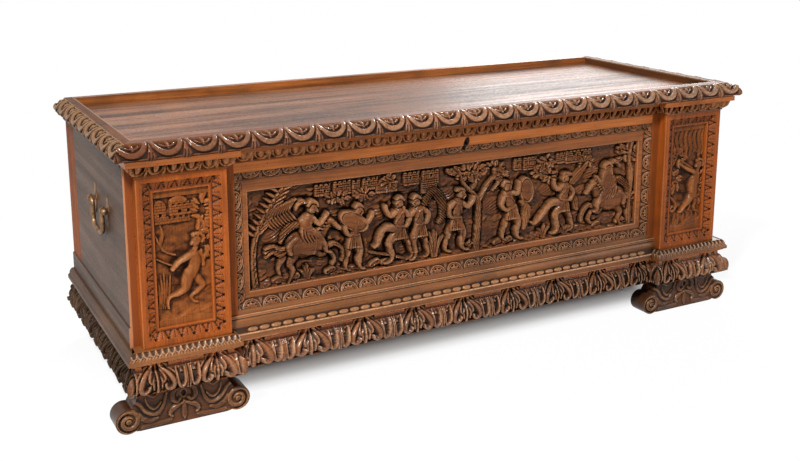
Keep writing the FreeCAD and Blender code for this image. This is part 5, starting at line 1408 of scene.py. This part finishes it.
# studio: a white floor and backdrop, soft lamps and a pale world; the shade's places are in metres on the floor
studio = {"floorSize": 40, "floorColour": 0.80, "floorRough": 0.8, "worldStrength": 0.22, "aim": (0, 0, 0.3),
          # the floor turns white between these reaches, from this share up; depth counts for more than width
          "whiteReach": (1.0, 2.4, 0.68, 1.0), "depthWeight": 1.5,
          # white at once in front of the case, and the floor's own shade under it
          "frontY": (-0.19, -0.07, 0.96, 0.0), "underX": (0.68, 0.80, 1.0, 0.0), "underRearY": (0.22, 0.33, 1.0, 0.0),
          "underFrontY": (-0.22, -0.10), "underShare": 0.95,
          # name, place, size, watts
          "lamps": (("keyLamp", (-2.2, -2.1, 3.0), 0.5, 225), ("fillLamp", (3.2, -3.0, 1.6), 2.0, 42),
                    ("sideLamp", (-4.0, -0.6, 1.8), 2.0, 6), ("backLamp", (1.6, 1.8, 3.0), 0.5, 80),
                    ("sheenLamp", (3.4, 3.2, 1.9), 2.4, 75))}


def whiteOver(tree, share, shaded, white, output):
    # the eye and the gloss see white by share; all other light sees what is shaded
    rays = tree.nodes.new("ShaderNodeLightPath")
    seen = sums(tree, "MAXIMUM", rays.outputs["Is Camera Ray"], rays.outputs["Is Glossy Ray"])
    seen = sums(tree, "MAXIMUM", seen, rays.outputs["Is Transmission Ray"])
    mix = tree.nodes.new("ShaderNodeMixShader")
    for k, source in enumerate((sums(tree, "MULTIPLY", seen, share), shaded.outputs[0], white.outputs[0])):
        tree.links.new(source, mix.inputs[k])
    tree.links.new(mix.outputs[0], output.inputs["Surface"])


bpy.ops.object.select_all(action="DESELECT")
bpy.ops.mesh.primitive_plane_add(size=studio["floorSize"], location=(0, 0, 0))
floor = bpy.context.object
floor.name = "studioFloor"
floorPaint, tree, shader = finish("paleFloor")
shader.inputs["Base Color"].default_value = (*[studio["floorColour"]] * 3, 1)
shader.inputs["Roughness"].default_value = studio["floorRough"]
place = tree.nodes.new("ShaderNodeTexCoord").outputs["Object"]
stretch = addNode(tree, "ShaderNodeMapping", Scale=(1.0, studio["depthWeight"], 1.0))
reach = tree.nodes.new("ShaderNodeVectorMath")
reach.operation = "LENGTH"
tree.links.new(place, stretch.inputs["Vector"])
tree.links.new(stretch.outputs[0], reach.inputs[0])
spot = tree.nodes.new("ShaderNodeSeparateXYZ")
tree.links.new(place, spot.inputs[0])
under = rangeOf(tree, sums(tree, "ABSOLUTE", spot.outputs["X"], 0.0), *studio["underX"])
for where in ("underRearY", "underFrontY"):
    under = sums(tree, "MULTIPLY", under, rangeOf(tree, spot.outputs["Y"], *studio[where]))
share = sums(tree, "MAXIMUM", rangeOf(tree, reach.outputs["Value"], *studio["whiteReach"]),
             rangeOf(tree, spot.outputs["Y"], *studio["frontY"]))
share = sums(tree, "MULTIPLY", share,
             sums(tree, "SUBTRACT", 1.0, sums(tree, "MULTIPLY", under, studio["underShare"])))
white = addNode(tree, "ShaderNodeEmission", Color=(1, 1, 1, 1), Strength=1.0)
whiteOver(tree, share, shader, white, tree.nodes["Material Output"])
floor.data.materials.append(floorPaint)
for label, place, size, power in studio["lamps"]:
    bpy.ops.object.light_add(type="AREA", location=place)
    lamp = bpy.context.object
    lamp.name = label
    lamp.data.size = size
    lamp.data.energy = power
    lamp.rotation_euler = (Vector(studio["aim"]) - Vector(place)).to_track_quat("-Z", "Y").to_euler()
world = bpy.data.worlds.new("paleWorld")
world.use_nodes = True
tree = world.node_tree
sky = tree.nodes["Background"]
sky.inputs["Color"].default_value = (1, 1, 1, 1)
sky.inputs["Strength"].default_value = studio["worldStrength"]
bright = addNode(tree, "ShaderNodeBackground", Color=(1, 1, 1, 1), Strength=1.0)
whiteOver(tree, 1.0, sky, bright, tree.nodes["World Output"])
bpy.context.scene.world = world
bpy.context.scene.view_settings.view_transform = "Standard"
print("studio lit")
